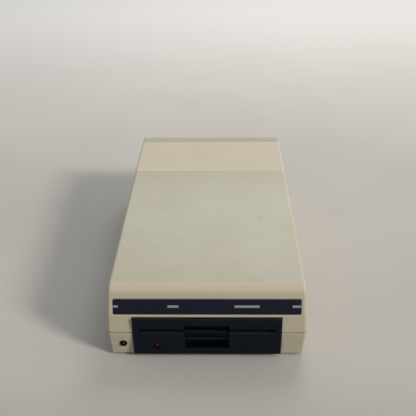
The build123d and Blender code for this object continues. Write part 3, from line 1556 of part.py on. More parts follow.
def make_switch_rocker():
    face = panel_face()
    z = socket_row_height
    tilt = 8
    points = [(face - 5, z - 4), (face + 0.4, z - 7.9), (face + 3.0, z - 7.6), (face + 1.6, z),
              (face + 3.0, z + 7.6), (face + 0.4, z + 7.9), (face - 5, z + 4)]
    half = switch_half_width - 1.5
    rocker = side_plate(points, switch_x - half, switch_x + half)
    hole = cross_pin(switch_x - 6, switch_x + 6, face - 3, z, 1.0 + running_gap)
    pivot = Pos(0, row(face - 3), z)
    return pivot * Rot(tilt, 0, 0) * pivot.inverse() * (rocker - hole)


def make_serial_sockets():
    face = panel_face()
    z = socket_row_height
    sockets = []
    for x in serial_xs:
        flange = block(x - serial_flange_half, x + serial_flange_half, face, face + serial_flange_sheet,
                       z - serial_flange_height / 2, z + serial_flange_height / 2)
        flange = chamfer(flange.edges().filter_by(Axis.Y), 3)
        shell = deep_pin(x, face - serial_depth, face + serial_flange_sheet + 1, z, serial_radius)
        bore = deep_pin(x, face - serial_depth * 0.6, face + 3, z, serial_bore_radius)
        core = deep_pin(x, face - serial_depth * 0.7, face + 1.0, z, serial_core_radius)
        key = block(x - 1.2, x + 1.2, face - serial_depth * 0.7, face + 1.0,
                    z + serial_core_radius - 0.9, z + serial_bore_radius + 0.3)
        socket = flange + shell - bore + core + key
        for number in range(5):
            angle = math.radians(180 + 45 * number)
            socket = socket - deep_pin(x + serial_pin_circle * math.cos(angle), face - serial_depth / 2,
                                       face + 2, z + serial_pin_circle * math.sin(angle),
                                       serial_pin_radius)
        socket = socket - deep_pin(x, face - serial_depth / 2, face + 2, z, serial_pin_radius)
        for ear in serial_ear_xs(x):
            socket = socket - deep_pin(ear, face - 1, face + 3, z, screw_radius + running_gap)
        sockets.append(socket)
    return Compound(children=sockets)


def make_panel_screws():
    face = panel_face()
    seats = [(x, face + flange_sheet) for x in inlet_ear_xs()]
    for x in serial_xs:
        seats += [(ear, face + serial_flange_sheet) for ear in serial_ear_xs(x)]
    screws = []
    for x, seat in seats:
        head = deep_pin(x, seat, seat + screw_head * 0.8, socket_row_height, screw_head_radius * 0.75)
        screws.append(head + deep_pin(x, face - panel_screw_length, seat, socket_row_height, screw_radius))
    return Compound(children=screws)


nodes = {
    "top_cover": make_top_cover(),
    "bottom_case": make_bottom_case(),
    "rubber_feet": make_rubber_feet(),
    "case_screws": make_case_screws(),
    "nameplate": make_nameplate(),
    "front_bezel": make_front_bezel(),
    "power_led_holder": make_power_led_holder(),
    "power_led": make_power_led(),
    "activity_led": make_activity_led(),
    "latch_lever": make_latch_lever(),
    "clamp_bridge": make_clamp_bridge(),
    "lever_rivets": make_lever_rivets(),
    "bridge_pivot_pins": make_bridge_pivot_pins(),
    "lift_springs": make_lift_springs(),
    "clamp_hub": make_clamp_hub(),
    "clamp_hub_pin": make_clamp_hub_pin(),
    "hub_spring": make_hub_spring(),
    "drive_chassis": make_drive_chassis(),
    "disk_guide_left": make_disk_guide(-1),
    "disk_guide_right": make_disk_guide(1),
    "write_protect_sensor": make_write_protect_sensor(),
    "spindle": make_spindle(),
    "spindle_bearings": make_spindle_bearings(),
    "flywheel": make_flywheel(),
    "drive_belt": make_drive_belt(),
    "spindle_motor": make_spindle_motor(),
    "motor_pulley": make_motor_pulley(),
    "guide_rods": make_guide_rods(),
    "head_carriage": make_head_carriage(),
    "magnetic_head": make_magnetic_head(),
    "pressure_arm": make_pressure_arm(),
    "felt_pad": make_felt_pad(),
    "stepper_motor": make_stepper_motor(),
    "stepper_bracket": make_stepper_bracket(),
    "capstan": make_capstan(),
    "band_strip": make_band_strip(),
    "track_zero_stop": make_track_zero_stop(),
    "drive_board": make_drive_board(),
    "drive_board_parts": make_drive_board_parts(),
    "board_rails": make_board_rails(),
    "main_board": make_main_board(),
    "chip_packages": make_chip_packages(),
    "smoothing_capacitors": make_smoothing_capacitors(),
    "heat_sink": make_heat_sink(),
    "power_semiconductors": make_power_semiconductors(),
    "board_connectors": make_board_connectors(),
    "board_screws": make_board_screws(),
    "mechanism_screws": make_mechanism_screws(),
    "transformer_core": make_transformer_core(),
    "transformer_winding": make_transformer_winding(),
    "rear_panel": make_rear_panel(),
    "power_inlet": make_power_inlet(),
    "inlet_pins": make_inlet_pins(),
    "fuse_holder": make_fuse_holder(),
    "fuse_cap": make_fuse_cap(),
    "switch_body": make_switch_body(),
    "switch_rocker": make_switch_rocker(),
    "serial_sockets": make_serial_sockets(),
    "panel_screws": make_panel_screws(),
}

os.makedirs("parts", exist_ok=True)
for name, shape in nodes.items():
    export_step(shape, "parts/" + name + ".step")
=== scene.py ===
import math

import bpy
from mathutils import Matrix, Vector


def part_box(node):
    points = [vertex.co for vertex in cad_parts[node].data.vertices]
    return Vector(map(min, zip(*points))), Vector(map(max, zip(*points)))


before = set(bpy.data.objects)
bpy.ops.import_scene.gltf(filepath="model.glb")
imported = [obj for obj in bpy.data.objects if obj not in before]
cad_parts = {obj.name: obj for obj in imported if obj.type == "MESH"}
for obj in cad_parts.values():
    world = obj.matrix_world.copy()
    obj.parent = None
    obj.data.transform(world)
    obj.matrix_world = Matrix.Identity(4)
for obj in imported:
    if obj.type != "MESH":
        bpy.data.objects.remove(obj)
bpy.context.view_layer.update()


# ---------------------------------------------------------------- top cover
# The top cover is one injection-moulded shell of cream ABS with a fine eroded skin, pulled down on
# the lower case by four long screws. Its colour is uneven: its rear section is paler, the strip
# behind the crest carries painted shade, the bend at the front a warm painted highlight, and the
# upright faces painted shade.

def shade(red, green, blue):
    """Display colour, 0 to 255, as the linear colour that shaders take."""
    linear = []
    for value in (red, green, blue):
        part = value / 255
        linear.append(part / 12.92 if part <= 0.04045 else ((part + 0.055) / 1.055) ** 2.4)
    return (*linear, 1.0)


def place(tree, kind, feeds=None, **settings):
    """One shader node. Feeds are its inputs by name or number: a value, or another node's output."""
    made = tree.nodes.new("ShaderNode" + kind)
    for name, value in settings.items():
        setattr(made, name, value)
    for name, value in (feeds or {}).items():
        if isinstance(value, bpy.types.NodeSocket):
            tree.links.new(value, made.inputs[name])
        else:
            made.inputs[name].default_value = value
    return made


def start_group(name, inputs, outputs):
    """An empty shader node group with named inputs (name, type, value) and outputs (name, type)."""
    tree = bpy.data.node_groups.new(name, "ShaderNodeTree")
    for label, kind, value in inputs:
        made = tree.interface.new_socket(name=label, in_out="INPUT", socket_type="NodeSocket" + kind)
        made.default_value = value
    for label, kind in outputs:
        tree.interface.new_socket(name=label, in_out="OUTPUT", socket_type="NodeSocket" + kind)
    return tree, tree.nodes.new("NodeGroupInput").outputs, tree.nodes.new("NodeGroupOutput").inputs


def use_group(tree, name, **feeds):
    """Places a node group; a feed's name is the input's name with _ for spaces."""
    made = tree.nodes.new("ShaderNodeGroup")
    made.node_tree = bpy.data.node_groups[name]
    for label, value in feeds.items():
        socket = made.inputs[label.replace("_", " ")]
        if isinstance(value, bpy.types.NodeSocket):
            tree.links.new(value, socket)
        else:
            socket.default_value = value
    return made.outputs


def on_object(tree):
    """The surface point in the drive's own frame, in metres."""
    return place(tree, "TexCoord").outputs["Object"]


def axes(tree, point):
    """X, Y and Z of a point, by those names."""
    return place(tree, "SeparateXYZ", {0: point}).outputs


def facing_up(tree):
    """Height of the face's normal: 1 on level faces that look up, 0 on upright ones."""
    return axes(tree, place(tree, "NewGeometry").outputs["Normal"])["Z"]


def sums(tree, operation, first, second, third=None, clamp=False):
    """Arithmetic on two or three values."""
    feeds = {0: first, 1: second}
    if third is not None:
        feeds[2] = third
    return place(tree, "Math", feeds, operation=operation, use_clamp=clamp).outputs[0]


def apart(tree, value, middle):
    """How far a value is from a middle value."""
    return sums(tree, "ABSOLUTE", sums(tree, "SUBTRACT", value, middle), 0.0)


def ramp(tree, value, low, high, to_low=0.0, to_high=1.0):
    """Smooth step of a value between two limits."""
    feeds = {"Value": value, "From Min": low, "From Max": high, "To Min": to_low, "To Max": to_high}
    return place(tree, "MapRange", feeds, interpolation_type="SMOOTHSTEP").outputs["Result"]


def noise(tree, point, size, detail=3.0, roughness=0.55):
    """Cloudy noise whose features are about size metres across."""
    feeds = {"Vector": point, "Scale": 1.0 / size, "Detail": detail, "Roughness": roughness}
    return place(tree, "TexNoise", feeds).outputs["Fac"]


def blend(tree, amount, under, over, way="MIX"):
    """Lays one colour over another."""
    made = place(tree, "Mix", {0: amount}, data_type="RGBA", blend_type=way)
    for socket, value in ((made.inputs[6], under), (made.inputs[7], over)):
        if isinstance(value, bpy.types.NodeSocket):
            tree.links.new(value, socket)
        else:
            socket.default_value = value
    return made.outputs[2]


tree, given, out = start_group("eroded_skin", [("Grain", "Float", 0.0004)],
                               [("Height", "Float"), ("Speckle", "Float")])
point = on_object(tree)
fine = sums(tree, "DIVIDE", 1.0, given["Grain"])
grain = place(tree, "TexNoise", {"Vector": point, "Scale": fine, "Detail": 2.0, "Roughness": 0.6})
coarse = place(tree, "TexVoronoi", {"Vector": point, "Scale": sums(tree, "MULTIPLY", fine, 0.55)})
height = sums(tree, "MULTIPLY_ADD", coarse.outputs["Distance"], 0.45, grain.outputs["Fac"])
tree.links.new(height, out["Height"])
tree.links.new(grain.outputs["Fac"], out["Speckle"])

tree, given, out = start_group(
    "uneven_age", [("Fresh", "Color", shade(220, 216, 200)), ("Aged", "Color", shade(200, 190, 160)),
                   ("Patch", "Float", 0.06), ("Amount", "Float", 0.6)], [("Color", "Color")])
point = on_object(tree)
cloud = place(tree, "TexNoise", {"Vector": point, "Scale": sums(tree, "DIVIDE", 1.0, given["Patch"]),
                                 "Detail": 5.0, "Roughness": 0.55})
much = sums(tree, "MULTIPLY", ramp(tree, cloud.outputs["Fac"], 0.3, 0.7), given["Amount"])
aged = blend(tree, much, given["Fresh"], given["Aged"])
mottle = ramp(tree, noise(tree, point, 0.0045, 4.0, 0.7), 0.25, 0.75, 0.965, 1.02)
tone = place(tree, "CombineColor", {0: mottle, 1: mottle, 2: mottle}).outputs[0]
tree.links.new(blend(tree, 1.0, aged, tone, "MULTIPLY"), out["Color"])

tree, given, out = start_group("worn_edges", [("Reach", "Float", 0.0006), ("Amount", "Float", 0.5)],
                               [("Mask", "Float"), ("Normal", "Vector")])
rounded = place(tree, "Bevel", {"Radius": given["Reach"]}, samples=6).outputs["Normal"]
flat = place(tree, "NewGeometry").outputs["Normal"]
turn = place(tree, "VectorMath", {0: rounded, 1: flat}, operation="DOT_PRODUCT").outputs["Value"]
rubbed = ramp(tree, noise(tree, on_object(tree), 0.004, 5.0, 0.7), 0.38, 0.62)
edge = sums(tree, "MULTIPLY", ramp(tree, turn, 0.995, 0.80), rubbed)
tree.links.new(sums(tree, "MULTIPLY", edge, given["Amount"]), out["Mask"])
tree.links.new(rounded, out["Normal"])

# Painted shade and grime: corners and creases found by ambient occlusion are darkened, streaked by noise.
tree, given, out = start_group("corner_shade_and_grime", [("Reach", "Float", 0.004), ("Amount", "Float", 0.5)],
                               [("Mask", "Float")])
open_sky = place(tree, "AmbientOcclusion", {"Distance": given["Reach"]}, samples=6).outputs["AO"]
streaky = ramp(tree, noise(tree, on_object(tree), 0.006, 5.0, 0.65), 0.3, 0.7, 0.45, 1.0)
held = sums(tree, "MULTIPLY", ramp(tree, open_sky, 0.9, 0.45), streaky)
tree.links.new(sums(tree, "MULTIPLY", held, given["Amount"]), out["Mask"])

tree, given, out = start_group("settled_dust", [("Amount", "Float", 0.3)], [("Mask", "Float")])
up = facing_up(tree)
patchy = ramp(tree, noise(tree, on_object(tree), 0.011, 6.0, 0.7), 0.35, 0.75)
level = sums(tree, "MULTIPLY", ramp(tree, up, 0.4, 1.0), patchy)
tree.links.new(sums(tree, "MULTIPLY", level, given["Amount"]), out["Mask"])


def new_material(name):
    """A material with its node tree and its shader."""
    material = bpy.data.materials.new(name)
    material.use_nodes = True
    return material, material.node_tree, material.node_tree.nodes["Principled BSDF"]


def plastic(name, fresh, aged, roughness, grain=0.0004, depth=0.00002, patch=0.06, age=0.6, edge=0.0005,
            wear=0.3, worn=None, shade_and_grime=0.35, shade_and_dirt=(70, 62, 50), dust=0.1, marks=None, hollows=None,
            **sockets):
    """Moulded plastic: aged colour, eroded skin, rubbed edges, painted shade and grime in corners, and
    settled dust.
    """
    material, tree, shader = new_material(name)
    colour = use_group(tree, "uneven_age", Fresh=shade(*fresh), Aged=shade(*aged), Patch=patch,
                       Amount=age)["Color"]
    if marks:
        colour = marks(tree, colour)
    skin = use_group(tree, "eroded_skin", Grain=grain)
    edges = use_group(tree, "worn_edges", Reach=edge, Amount=wear)
    colour = blend(tree, edges["Mask"], colour, shade(*(worn or [min(255, v + 26) for v in fresh])))
    # Painted shade and grime in corners.
    shaded_and_dirty = use_group(tree, "corner_shade_and_grime", Reach=0.004, Amount=shade_and_grime)["Mask"]
    colour = blend(tree, shaded_and_dirty, colour, shade(*shade_and_dirt))
    dusty = use_group(tree, "settled_dust", Amount=dust)["Mask"]
    colour = blend(tree, dusty, colour, shade(176, 172, 160))
    if hollows:
        colour = hollows(tree, colour)
    tree.links.new(colour, shader.inputs["Base Color"])
    dulled = ramp(tree, skin["Speckle"], 0.3, 0.7, roughness - 0.04, roughness + 0.05)
    smooth = sums(tree, "MULTIPLY_ADD", edges["Mask"], -0.15, dulled)
    tree.links.new(sums(tree, "MULTIPLY_ADD", dusty, 0.25, smooth, clamp=True), shader.inputs["Roughness"])
    bump = place(tree, "Bump", {"Height": skin["Height"], "Strength": 0.7, "Distance": depth,
                                "Normal": edges["Normal"]})
    tree.links.new(bump.outputs["Normal"], shader.inputs["Normal"])
    for socket, value in sockets.items():
        shader.inputs[socket.replace("_", " ")].default_value = value
    return material


def dress(material, *nodes):
    """Gives CAD nodes their finish."""
    for name in nodes:
        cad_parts[name].data.materials[0] = material


cover_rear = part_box("top_cover")[1].y
step_from_rear = 0.117
crest_from_rear = 0.025
nose_behind_face = 0.0129
step_y = cover_rear - step_from_rear
crest_y = cover_rear - crest_from_rear
bezel_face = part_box("front_bezel")[0].y
nose_y = bezel_face + nose_behind_face
roof_middle = (nose_y + step_y) / 2
riser_run = 0.002
smudge_height = 0.085
smudges = [(-0.001, 0.043, 0.003), (0.0605, -0.046, 0.004)]


def cover_marks(tree, colour):
    """Paler rear section, painted shade on the crest strip, a warm painted highlight on the bend, painted
    shade on upright faces, a painted highlight on the step's riser, and two smudges.
    """
    point = on_object(tree)
    spot = axes(tree, point)
    up = facing_up(tree)
    behind = ramp(tree, spot["Y"], step_y - 0.0005, step_y + 0.0005)
    reddened = ramp(tree, apart(tree, spot["Y"], roof_middle), 0.04, 0.12, 0.0, 0.3)
    colour = blend(tree, reddened, colour, shade(176, 164, 148))
    colour = blend(tree, sums(tree, "MULTIPLY", behind, 0.85), colour, shade(206, 197, 175))
    # Painted shade: the strip behind the crest is greyer.
    crest_strip_shade = ramp(tree, spot["Y"], crest_y - 0.001, crest_y + 0.001)
    colour = blend(tree, sums(tree, "MULTIPLY", crest_strip_shade, 0.9), colour, shade(178, 170, 152))
    rosy = ramp(tree, noise(tree, point, 0.07, 2.0), 0.54, 0.72, 0.0, 0.18)
    colour = blend(tree, rosy, colour, shade(200, 182, 160))
    # Painted highlight: a warm, paler band along the bend.
    warm_bend_highlight = ramp(tree, spot["Y"], nose_y + 0.012, nose_y + 0.003)
    colour = blend(tree, sums(tree, "MULTIPLY", warm_bend_highlight, 0.9), colour, shade(202, 190, 168))
    # Painted shade: faces that stand upright are darker and browner.
    upright = ramp(tree, up, 0.7, 0.42)
    colour = blend(tree, sums(tree, "MULTIPLY", upright, 0.95), colour, shade(186, 178, 157))
    # Painted highlight: the step's riser is paler.
    riser_highlight = sums(tree, "MULTIPLY", ramp(tree, spot["Y"], step_y - 0.0004, step_y),
                 ramp(tree, spot["Y"], step_y + riser_run, step_y + 0.7 * riser_run))
    riser_highlight = sums(tree, "MULTIPLY", riser_highlight, ramp(tree, up, 0.15, 0.35))
    colour = blend(tree, riser_highlight, colour, shade(221, 214, 195))
    for x, y, radius in smudges:
        middle = (x, y, smudge_height)
        far = place(tree, "VectorMath", {0: point, 1: middle}, operation="DISTANCE").outputs["Value"]
        broken = ramp(tree, noise(tree, point, 0.003, 4.0), 0.35, 0.65, 0.3, 1.0)
        smudge = sums(tree, "MULTIPLY", ramp(tree, far, radius + 0.004, 0.0), broken)
        colour = blend(tree, sums(tree, "MULTIPLY", smudge, 0.3), colour, shade(140, 132, 112))
    return colour


dress(plastic("aged_cream_case", (198, 195, 178), (190, 185, 165), 0.5, marks=cover_marks, dust=0.04,
              shade_and_grime=0.15, shade_and_dirt=(96, 88, 70), Specular_IOR_Level=0.25), "top_cover")


# ---------------------------------------------------------------- lower case and feet
# The lower case is a deep tray of the same ABS, drawn in a few degrees towards its floor.
# Its outside has turned warmer and browner than the cover's. Four turned rubber feet are
# pressed into holes in the floor by their pegs, and the case screws enter through deep wells.

dress(plastic("aged_beige_case", (188, 181, 163), (174, 165, 145), 0.52, patch=0.04, age=0.8, shade_and_grime=0.6,
              shade_and_dirt=(70, 62, 48), dust=0.15, Specular_IOR_Level=0.3), "bottom_case")
dress(plastic("foot_rubber_black", (38, 37, 36), (58, 55, 50), 0.85, grain=0.0009, depth=0.00005, age=0.5,
              wear=0.5, worn=(96, 92, 84), dust=0.5), "rubber_feet")


# ---------------------------------------------------------------- nameplate
# The nameplate is thin printed foil laid in a shallow moulded recess of the sloping face.
# Its navy ink leaves bare silver runs between plain fields, which carry no words here.

plate_low, plate_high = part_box("nameplate")
stripe_share = 0.53
stripe_z = plate_low.z + (plate_high.z - plate_low.z) * stripe_share
stripe_half = 0.00115
stripe_runs = [(-0.0932, -0.0881), (-0.0388, -0.0279), (0.0274, 0.0523), (0.0848, 0.0932)]

plate_ink, tree, shader = new_material("printed_navy_foil")
point = on_object(tree)
spot = axes(tree, point)
off_middle = apart(tree, spot["Z"], stripe_z)
bare = 0.0
for start, end in stripe_runs:
    off_run = apart(tree, spot["X"], (start + end) / 2)
    bare = sums(tree, "ADD", bare, sums(tree, "LESS_THAN", off_run, (end - start) / 2))
bare = sums(tree, "MULTIPLY", bare, sums(tree, "LESS_THAN", off_middle, stripe_half), clamp=True)
brushed = place(tree, "Mapping", {"Vector": point, "Scale": (60.0, 3000.0, 3000.0)}).outputs[0]
lines = place(tree, "TexNoise", {"Vector": brushed, "Scale": 1.0, "Detail": 3.0})
edges = use_group(tree, "worn_edges", Reach=0.0004, Amount=0.7)
foil = sums(tree, "MAXIMUM", bare, edges["Mask"])
ink = use_group(tree, "uneven_age", Fresh=shade(7, 9, 30), Aged=shade(12, 14, 34), Patch=0.03, Amount=0.6)
colour = blend(tree, foil, ink["Color"], shade(150, 150, 156))
dusty = use_group(tree, "settled_dust", Amount=0.03)["Mask"]
tree.links.new(blend(tree, dusty, colour, shade(150, 148, 142)), shader.inputs["Base Color"])
tree.links.new(sums(tree, "MULTIPLY", foil, 0.8), shader.inputs["Metallic"])
tree.links.new(ramp(tree, lines.outputs["Fac"], 0.3, 0.7, 0.33, 0.45), shader.inputs["Roughness"])
bump = place(tree, "Bump", {"Height": lines.outputs["Fac"], "Strength": 0.25, "Distance": 0.00001,
                            "Normal": edges["Normal"]})
tree.links.new(bump.outputs["Normal"], shader.inputs["Normal"])
shader.inputs["Specular IOR Level"].default_value = 0.2
dress(plate_ink, "nameplate")


# ---------------------------------------------------------------- front bezel and lamps
# The bezel is a near-black structural-foam moulding screwed to the drive's chassis.
# The red activity lamp sits in a well of the bezel, and the green power lamp in a snap-in
# collar of the lower case. Both lamps are cast epoxy with a domed lens.

hollow_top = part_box("latch_lever")[0].z
hollow_half = 0.0229
well_radius = 0.0039


def from_lamp_axis(tree, point, node):
    """Distance of a point from a lamp's axis, which runs from front to back."""
    low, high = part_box(node)
    offset = place(tree, "VectorMath", {0: point, 1: (low + high) / 2}, operation="SUBTRACT")
    across = place(tree, "VectorMath", {0: offset.outputs["Vector"], 1: (1.0, 0.0, 1.0)},
                   operation="MULTIPLY")
    return place(tree, "VectorMath", {0: across.outputs["Vector"]}, operation="LENGTH").outputs["Value"]


def shaded_hollows(tree, colour):
    """Painted shade: the lamp's well and the finger recess are painted blacker than the rubbed face."""
    point = on_object(tree)
    spot = axes(tree, point)
    # Painted shade in the lamp's well.
    reach = from_lamp_axis(tree, point, "activity_led")
    well = ramp(tree, reach, well_radius + 0.0002, well_radius - 0.0002)
    colour = blend(tree, well, colour, shade(0, 0, 2))
    # Painted shade in the finger recess.
    behind = ramp(tree, spot["Y"], bezel_face + 0.0004, bezel_face + 0.0012)
    below = ramp(tree, spot["Z"], hollow_top + 0.0005, hollow_top - 0.0005)
    between = ramp(tree, apart(tree, spot["X"], 0.0), hollow_half + 0.0003, hollow_half - 0.0003)
    inside = sums(tree, "MULTIPLY", sums(tree, "MULTIPLY", behind, below), between)
    return blend(tree, inside, colour, shade(1, 3, 12))


# Rubbed paler edges, partly a painted highlight where chamfers such as the slot's lower lip catch the
# light.
dress(plastic("black_bezel", (12, 18, 28), (16, 22, 31), 0.55, grain=0.0006, depth=0.00003, patch=0.03,
              age=0.5, wear=0.6, worn=(52, 58, 66), shade_and_grime=0.8, shade_and_dirt=(1, 2, 6), dust=0.03,
              hollows=shaded_hollows, Specular_IOR_Level=0.1), "front_bezel")
dress(plastic("black_lamp_collar", (2, 4, 6), (4, 6, 8), 0.5, grain=0.0009, wear=0.2, worn=(30, 32, 32),
              shade_and_dirt=(2, 2, 3), dust=0.0, Specular_IOR_Level=0.08), "power_led_holder")


heart_radius = 0.0004
rim_radius = 0.0022


def lens(name, rim, heart, node):
    """Cast epoxy lamp: a deep tint at the rim, a paler heart over the die, and a clear skin."""
    material, tree, shader = new_material(name)
    point = on_object(tree)
    reach = from_lamp_axis(tree, point, node)
    colour = blend(tree, ramp(tree, reach, heart_radius, rim_radius), shade(*heart), shade(*rim))
    dusty = use_group(tree, "settled_dust", Amount=0.04)["Mask"]
    tree.links.new(blend(tree, dusty, colour, shade(120, 116, 112)), shader.inputs["Base Color"])
    film = ramp(tree, noise(tree, point, 0.0008, 4.0), 0.3, 0.7, 0.34, 0.46)
    tree.links.new(film, shader.inputs["Roughness"])
    shader.inputs["Subsurface Weight"].default_value = 0.2
    shader.inputs["Subsurface Radius"].default_value = (0.001, 0.001, 0.001)
    shader.inputs["IOR"].default_value = 1.53
    shader.inputs["Specular IOR Level"].default_value = 0.2
    return material


dress(lens("green_epoxy_lamp", (1, 30, 18), (2, 80, 42), "power_led"), "power_led")
dress(lens("red_epoxy_lamp", (44, 1, 13), (88, 4, 28), "activity_led"), "activity_led")


# ---------------------------------------------------------------- latch lever and clamp bridge
# The latch lever is a glossy blue-black moulding, riveted over the tongue of the bridge.
# The bridge is zinc-plated sheet steel that swings on two pins and carries the clamp hub.

def lever_painted_light(tree, colour):
    """Painted reflection greys the upper faces, and a painted highlight lines the lower front edge."""
    spot = axes(tree, on_object(tree))
    up = facing_up(tree)
    # Painted reflection: upper faces are greyer and paler.
    colour = blend(tree, ramp(tree, up, 0.5, 0.95, 0.0, 0.8), colour, shade(32, 38, 50))
    # Painted highlight: a pale line along the lower front edge.
    edge = ramp(tree, spot["Z"], hollow_top + 0.0012, hollow_top + 0.0006, 0.0, 0.75)
    return blend(tree, edge, colour, shade(76, 86, 110))


dress(plastic("blue_black_lever", (1, 3, 14), (3, 5, 18), 0.45, grain=0.0012, depth=0.00001, wear=0.6,
              worn=(40, 48, 70), shade_and_grime=0.3, shade_and_dirt=(2, 2, 4), dust=0.0, marks=lever_painted_light,
              Specular_IOR_Level=0.08), "latch_lever")
dress(plastic("white_mechanism_plastic", (226, 223, 212), (216, 208, 188), 0.45, grain=0.0008, wear=0.2,
              shade_and_grime=0.3, dust=0.1), "clamp_hub", "head_carriage", "pressure_arm", "switch_rocker")

tree, given, out = start_group("drawn_lines", [("Stretch", "Vector", (1.0, 1.0, 1.0))],
                               [("Height", "Float")])
run = place(tree, "VectorMath", {0: on_object(tree), 1: given["Stretch"]}, operation="MULTIPLY")
hair = place(tree, "TexNoise", {"Vector": run.outputs["Vector"], "Scale": 1.0, "Detail": 4.0,
                                "Roughness": 0.6})
tree.links.new(hair.outputs["Fac"], out["Height"])

tree, given, out = start_group(
    "tarnish", [("Bright", "Color", shade(200, 200, 196)), ("Dull", "Color", shade(150, 148, 140)),
                ("Patch", "Float", 0.01), ("Amount", "Float", 0.5)],
    [("Color", "Color"), ("Mask", "Float")])
point = on_object(tree)
cloud = place(tree, "TexNoise", {"Vector": point, "Scale": sums(tree, "DIVIDE", 1.0, given["Patch"]),
                                 "Detail": 6.0, "Roughness": 0.65})
spread = sums(tree, "MULTIPLY", ramp(tree, cloud.outputs["Fac"], 0.4, 0.68), given["Amount"])
tree.links.new(blend(tree, spread, given["Bright"], given["Dull"]), out["Color"])
tree.links.new(spread, out["Mask"])


def metal(name, bright, dull, roughness, stretch=(400.0, 4000.0, 4000.0), patch=0.01, tarnish=0.5,
          depth=0.000006, edge=0.0003, shade_and_grime=0.3, metallic=1.0):
    """Worked metal: drawn or turned lines, cloudy tarnish, bright edges, and painted shade and grime in
    corners.
    """
    material, tree, shader = new_material(name)
    lines = use_group(tree, "drawn_lines", Stretch=stretch)["Height"]
    film = use_group(tree, "tarnish", Bright=shade(*bright), Dull=shade(*dull), Patch=patch, Amount=tarnish)
    edges = use_group(tree, "worn_edges", Reach=edge, Amount=0.6)
    colour = blend(tree, edges["Mask"], film["Color"], shade(*[min(255, v + 30) for v in bright]))
    # Painted shade and grime in corners.
    shaded_and_dirty = use_group(tree, "corner_shade_and_grime", Reach=0.003, Amount=shade_and_grime)["Mask"]
    tree.links.new(blend(tree, shaded_and_dirty, colour, shade(60, 56, 48)), shader.inputs["Base Color"])
    shader.inputs["Metallic"].default_value = metallic
    worked = ramp(tree, lines, 0.25, 0.75, roughness - 0.07, roughness + 0.07)
    tree.links.new(sums(tree, "MULTIPLY_ADD", film["Mask"], 0.2, worked, clamp=True),
                   shader.inputs["Roughness"])
    bump = place(tree, "Bump", {"Height": lines, "Strength": 0.5, "Distance": depth,
                                "Normal": edges["Normal"]})
    tree.links.new(bump.outputs["Normal"], shader.inputs["Normal"])
    return material


dress(metal("zinc_plated_sheet", (196, 198, 192), (170, 164, 140), 0.36, patch=0.014), "clamp_bridge",
      "stepper_bracket", "board_rails")
dress(metal("ground_steel", (206, 208, 210), (170, 168, 164), 0.2, tarnish=0.25), "bridge_pivot_pins",
      "guide_rods", "clamp_hub_pin", "spindle_bearings", "motor_pulley", "capstan", "band_strip")
dress(metal("drawn_spring_wire", (150, 150, 150), (110, 104, 96), 0.3, tarnish=0.5), "lift_springs",
      "hub_spring")
dress(metal("bright_zinc_screws", (205, 205, 198), (172, 164, 138), 0.3, patch=0.004), "lever_rivets",
      "case_screws", "mechanism_screws", "board_screws", "panel_screws")


# ---------------------------------------------------------------- chassis, disk guides and drive
# The chassis is a die-cast aluminium frame: a plate between two side walls, screwed to the
# case's posts. Black guides steer the disk over a turned spindle. Below the plate a cast
# flywheel on the spindle's shaft is driven by a flat ground belt from the motor's pulley.

casting = metal("die_cast_aluminium", (176, 178, 180), (150, 150, 148), 0.48,
                stretch=(900.0, 900.0, 900.0), patch=0.02, tarnish=0.7, depth=0.00003)
dress(casting, "drive_chassis", "flywheel")
dress(metal("turned_aluminium", (206, 208, 210), (186, 188, 190), 0.28, patch=0.02, tarnish=0.3),
      "spindle", "heat_sink")
dress(plastic("black_moulding", (30, 30, 31), (40, 40, 40), 0.46, grain=0.0007, age=0.5, wear=0.45,
              worn=(80, 80, 80), shade_and_grime=0.25, shade_and_dirt=(14, 14, 14), dust=0.15),
      "disk_guide_left", "disk_guide_right", "write_protect_sensor", "track_zero_stop", "power_inlet",
      "fuse_holder", "fuse_cap", "switch_body", "serial_sockets")
dress(plastic("ground_belt_rubber", (34, 33, 32), (48, 46, 42), 0.75, grain=0.0005, depth=0.00003,
              wear=0.3, worn=(90, 88, 84)), "drive_belt")
dress(metal("plated_motor_can", (176, 178, 180), (148, 146, 140), 0.32,
            stretch=(4000.0, 4000.0, 300.0), tarnish=0.4), "spindle_motor", "stepper_motor")


# ---------------------------------------------------------------- head and its arm
# The head is a polished ferrite core in a ceramic shoe on the carriage. The arm above it presses
# a felt pad on the disk from the other side.

dress(plastic("ferrite_and_ceramic", (44, 40, 38), (60, 54, 50), 0.2, grain=0.0003, depth=0.000004,
              wear=0.3, worn=(120, 112, 104)), "magnetic_head")
dress(plastic("pressed_felt", (214, 208, 188), (188, 178, 150), 0.95, grain=0.00035, depth=0.0002,
              patch=0.004, age=0.8, wear=0.0, dust=0.0, Sheen_Weight=0.6), "felt_pad")


# ---------------------------------------------------------------- circuit boards
# Both boards are glass-epoxy sheets under green solder resist, over tinned copper tracks.
# The chips stand on two rows of tinned leads, and the large cans smooth the supply.

grid_pitch = 0.00254
cells_of_one_way = 9       # grid steps over which tracks keep their direction
track_half = 0.17          # as a share of the pitch
pad_radius = 0.3


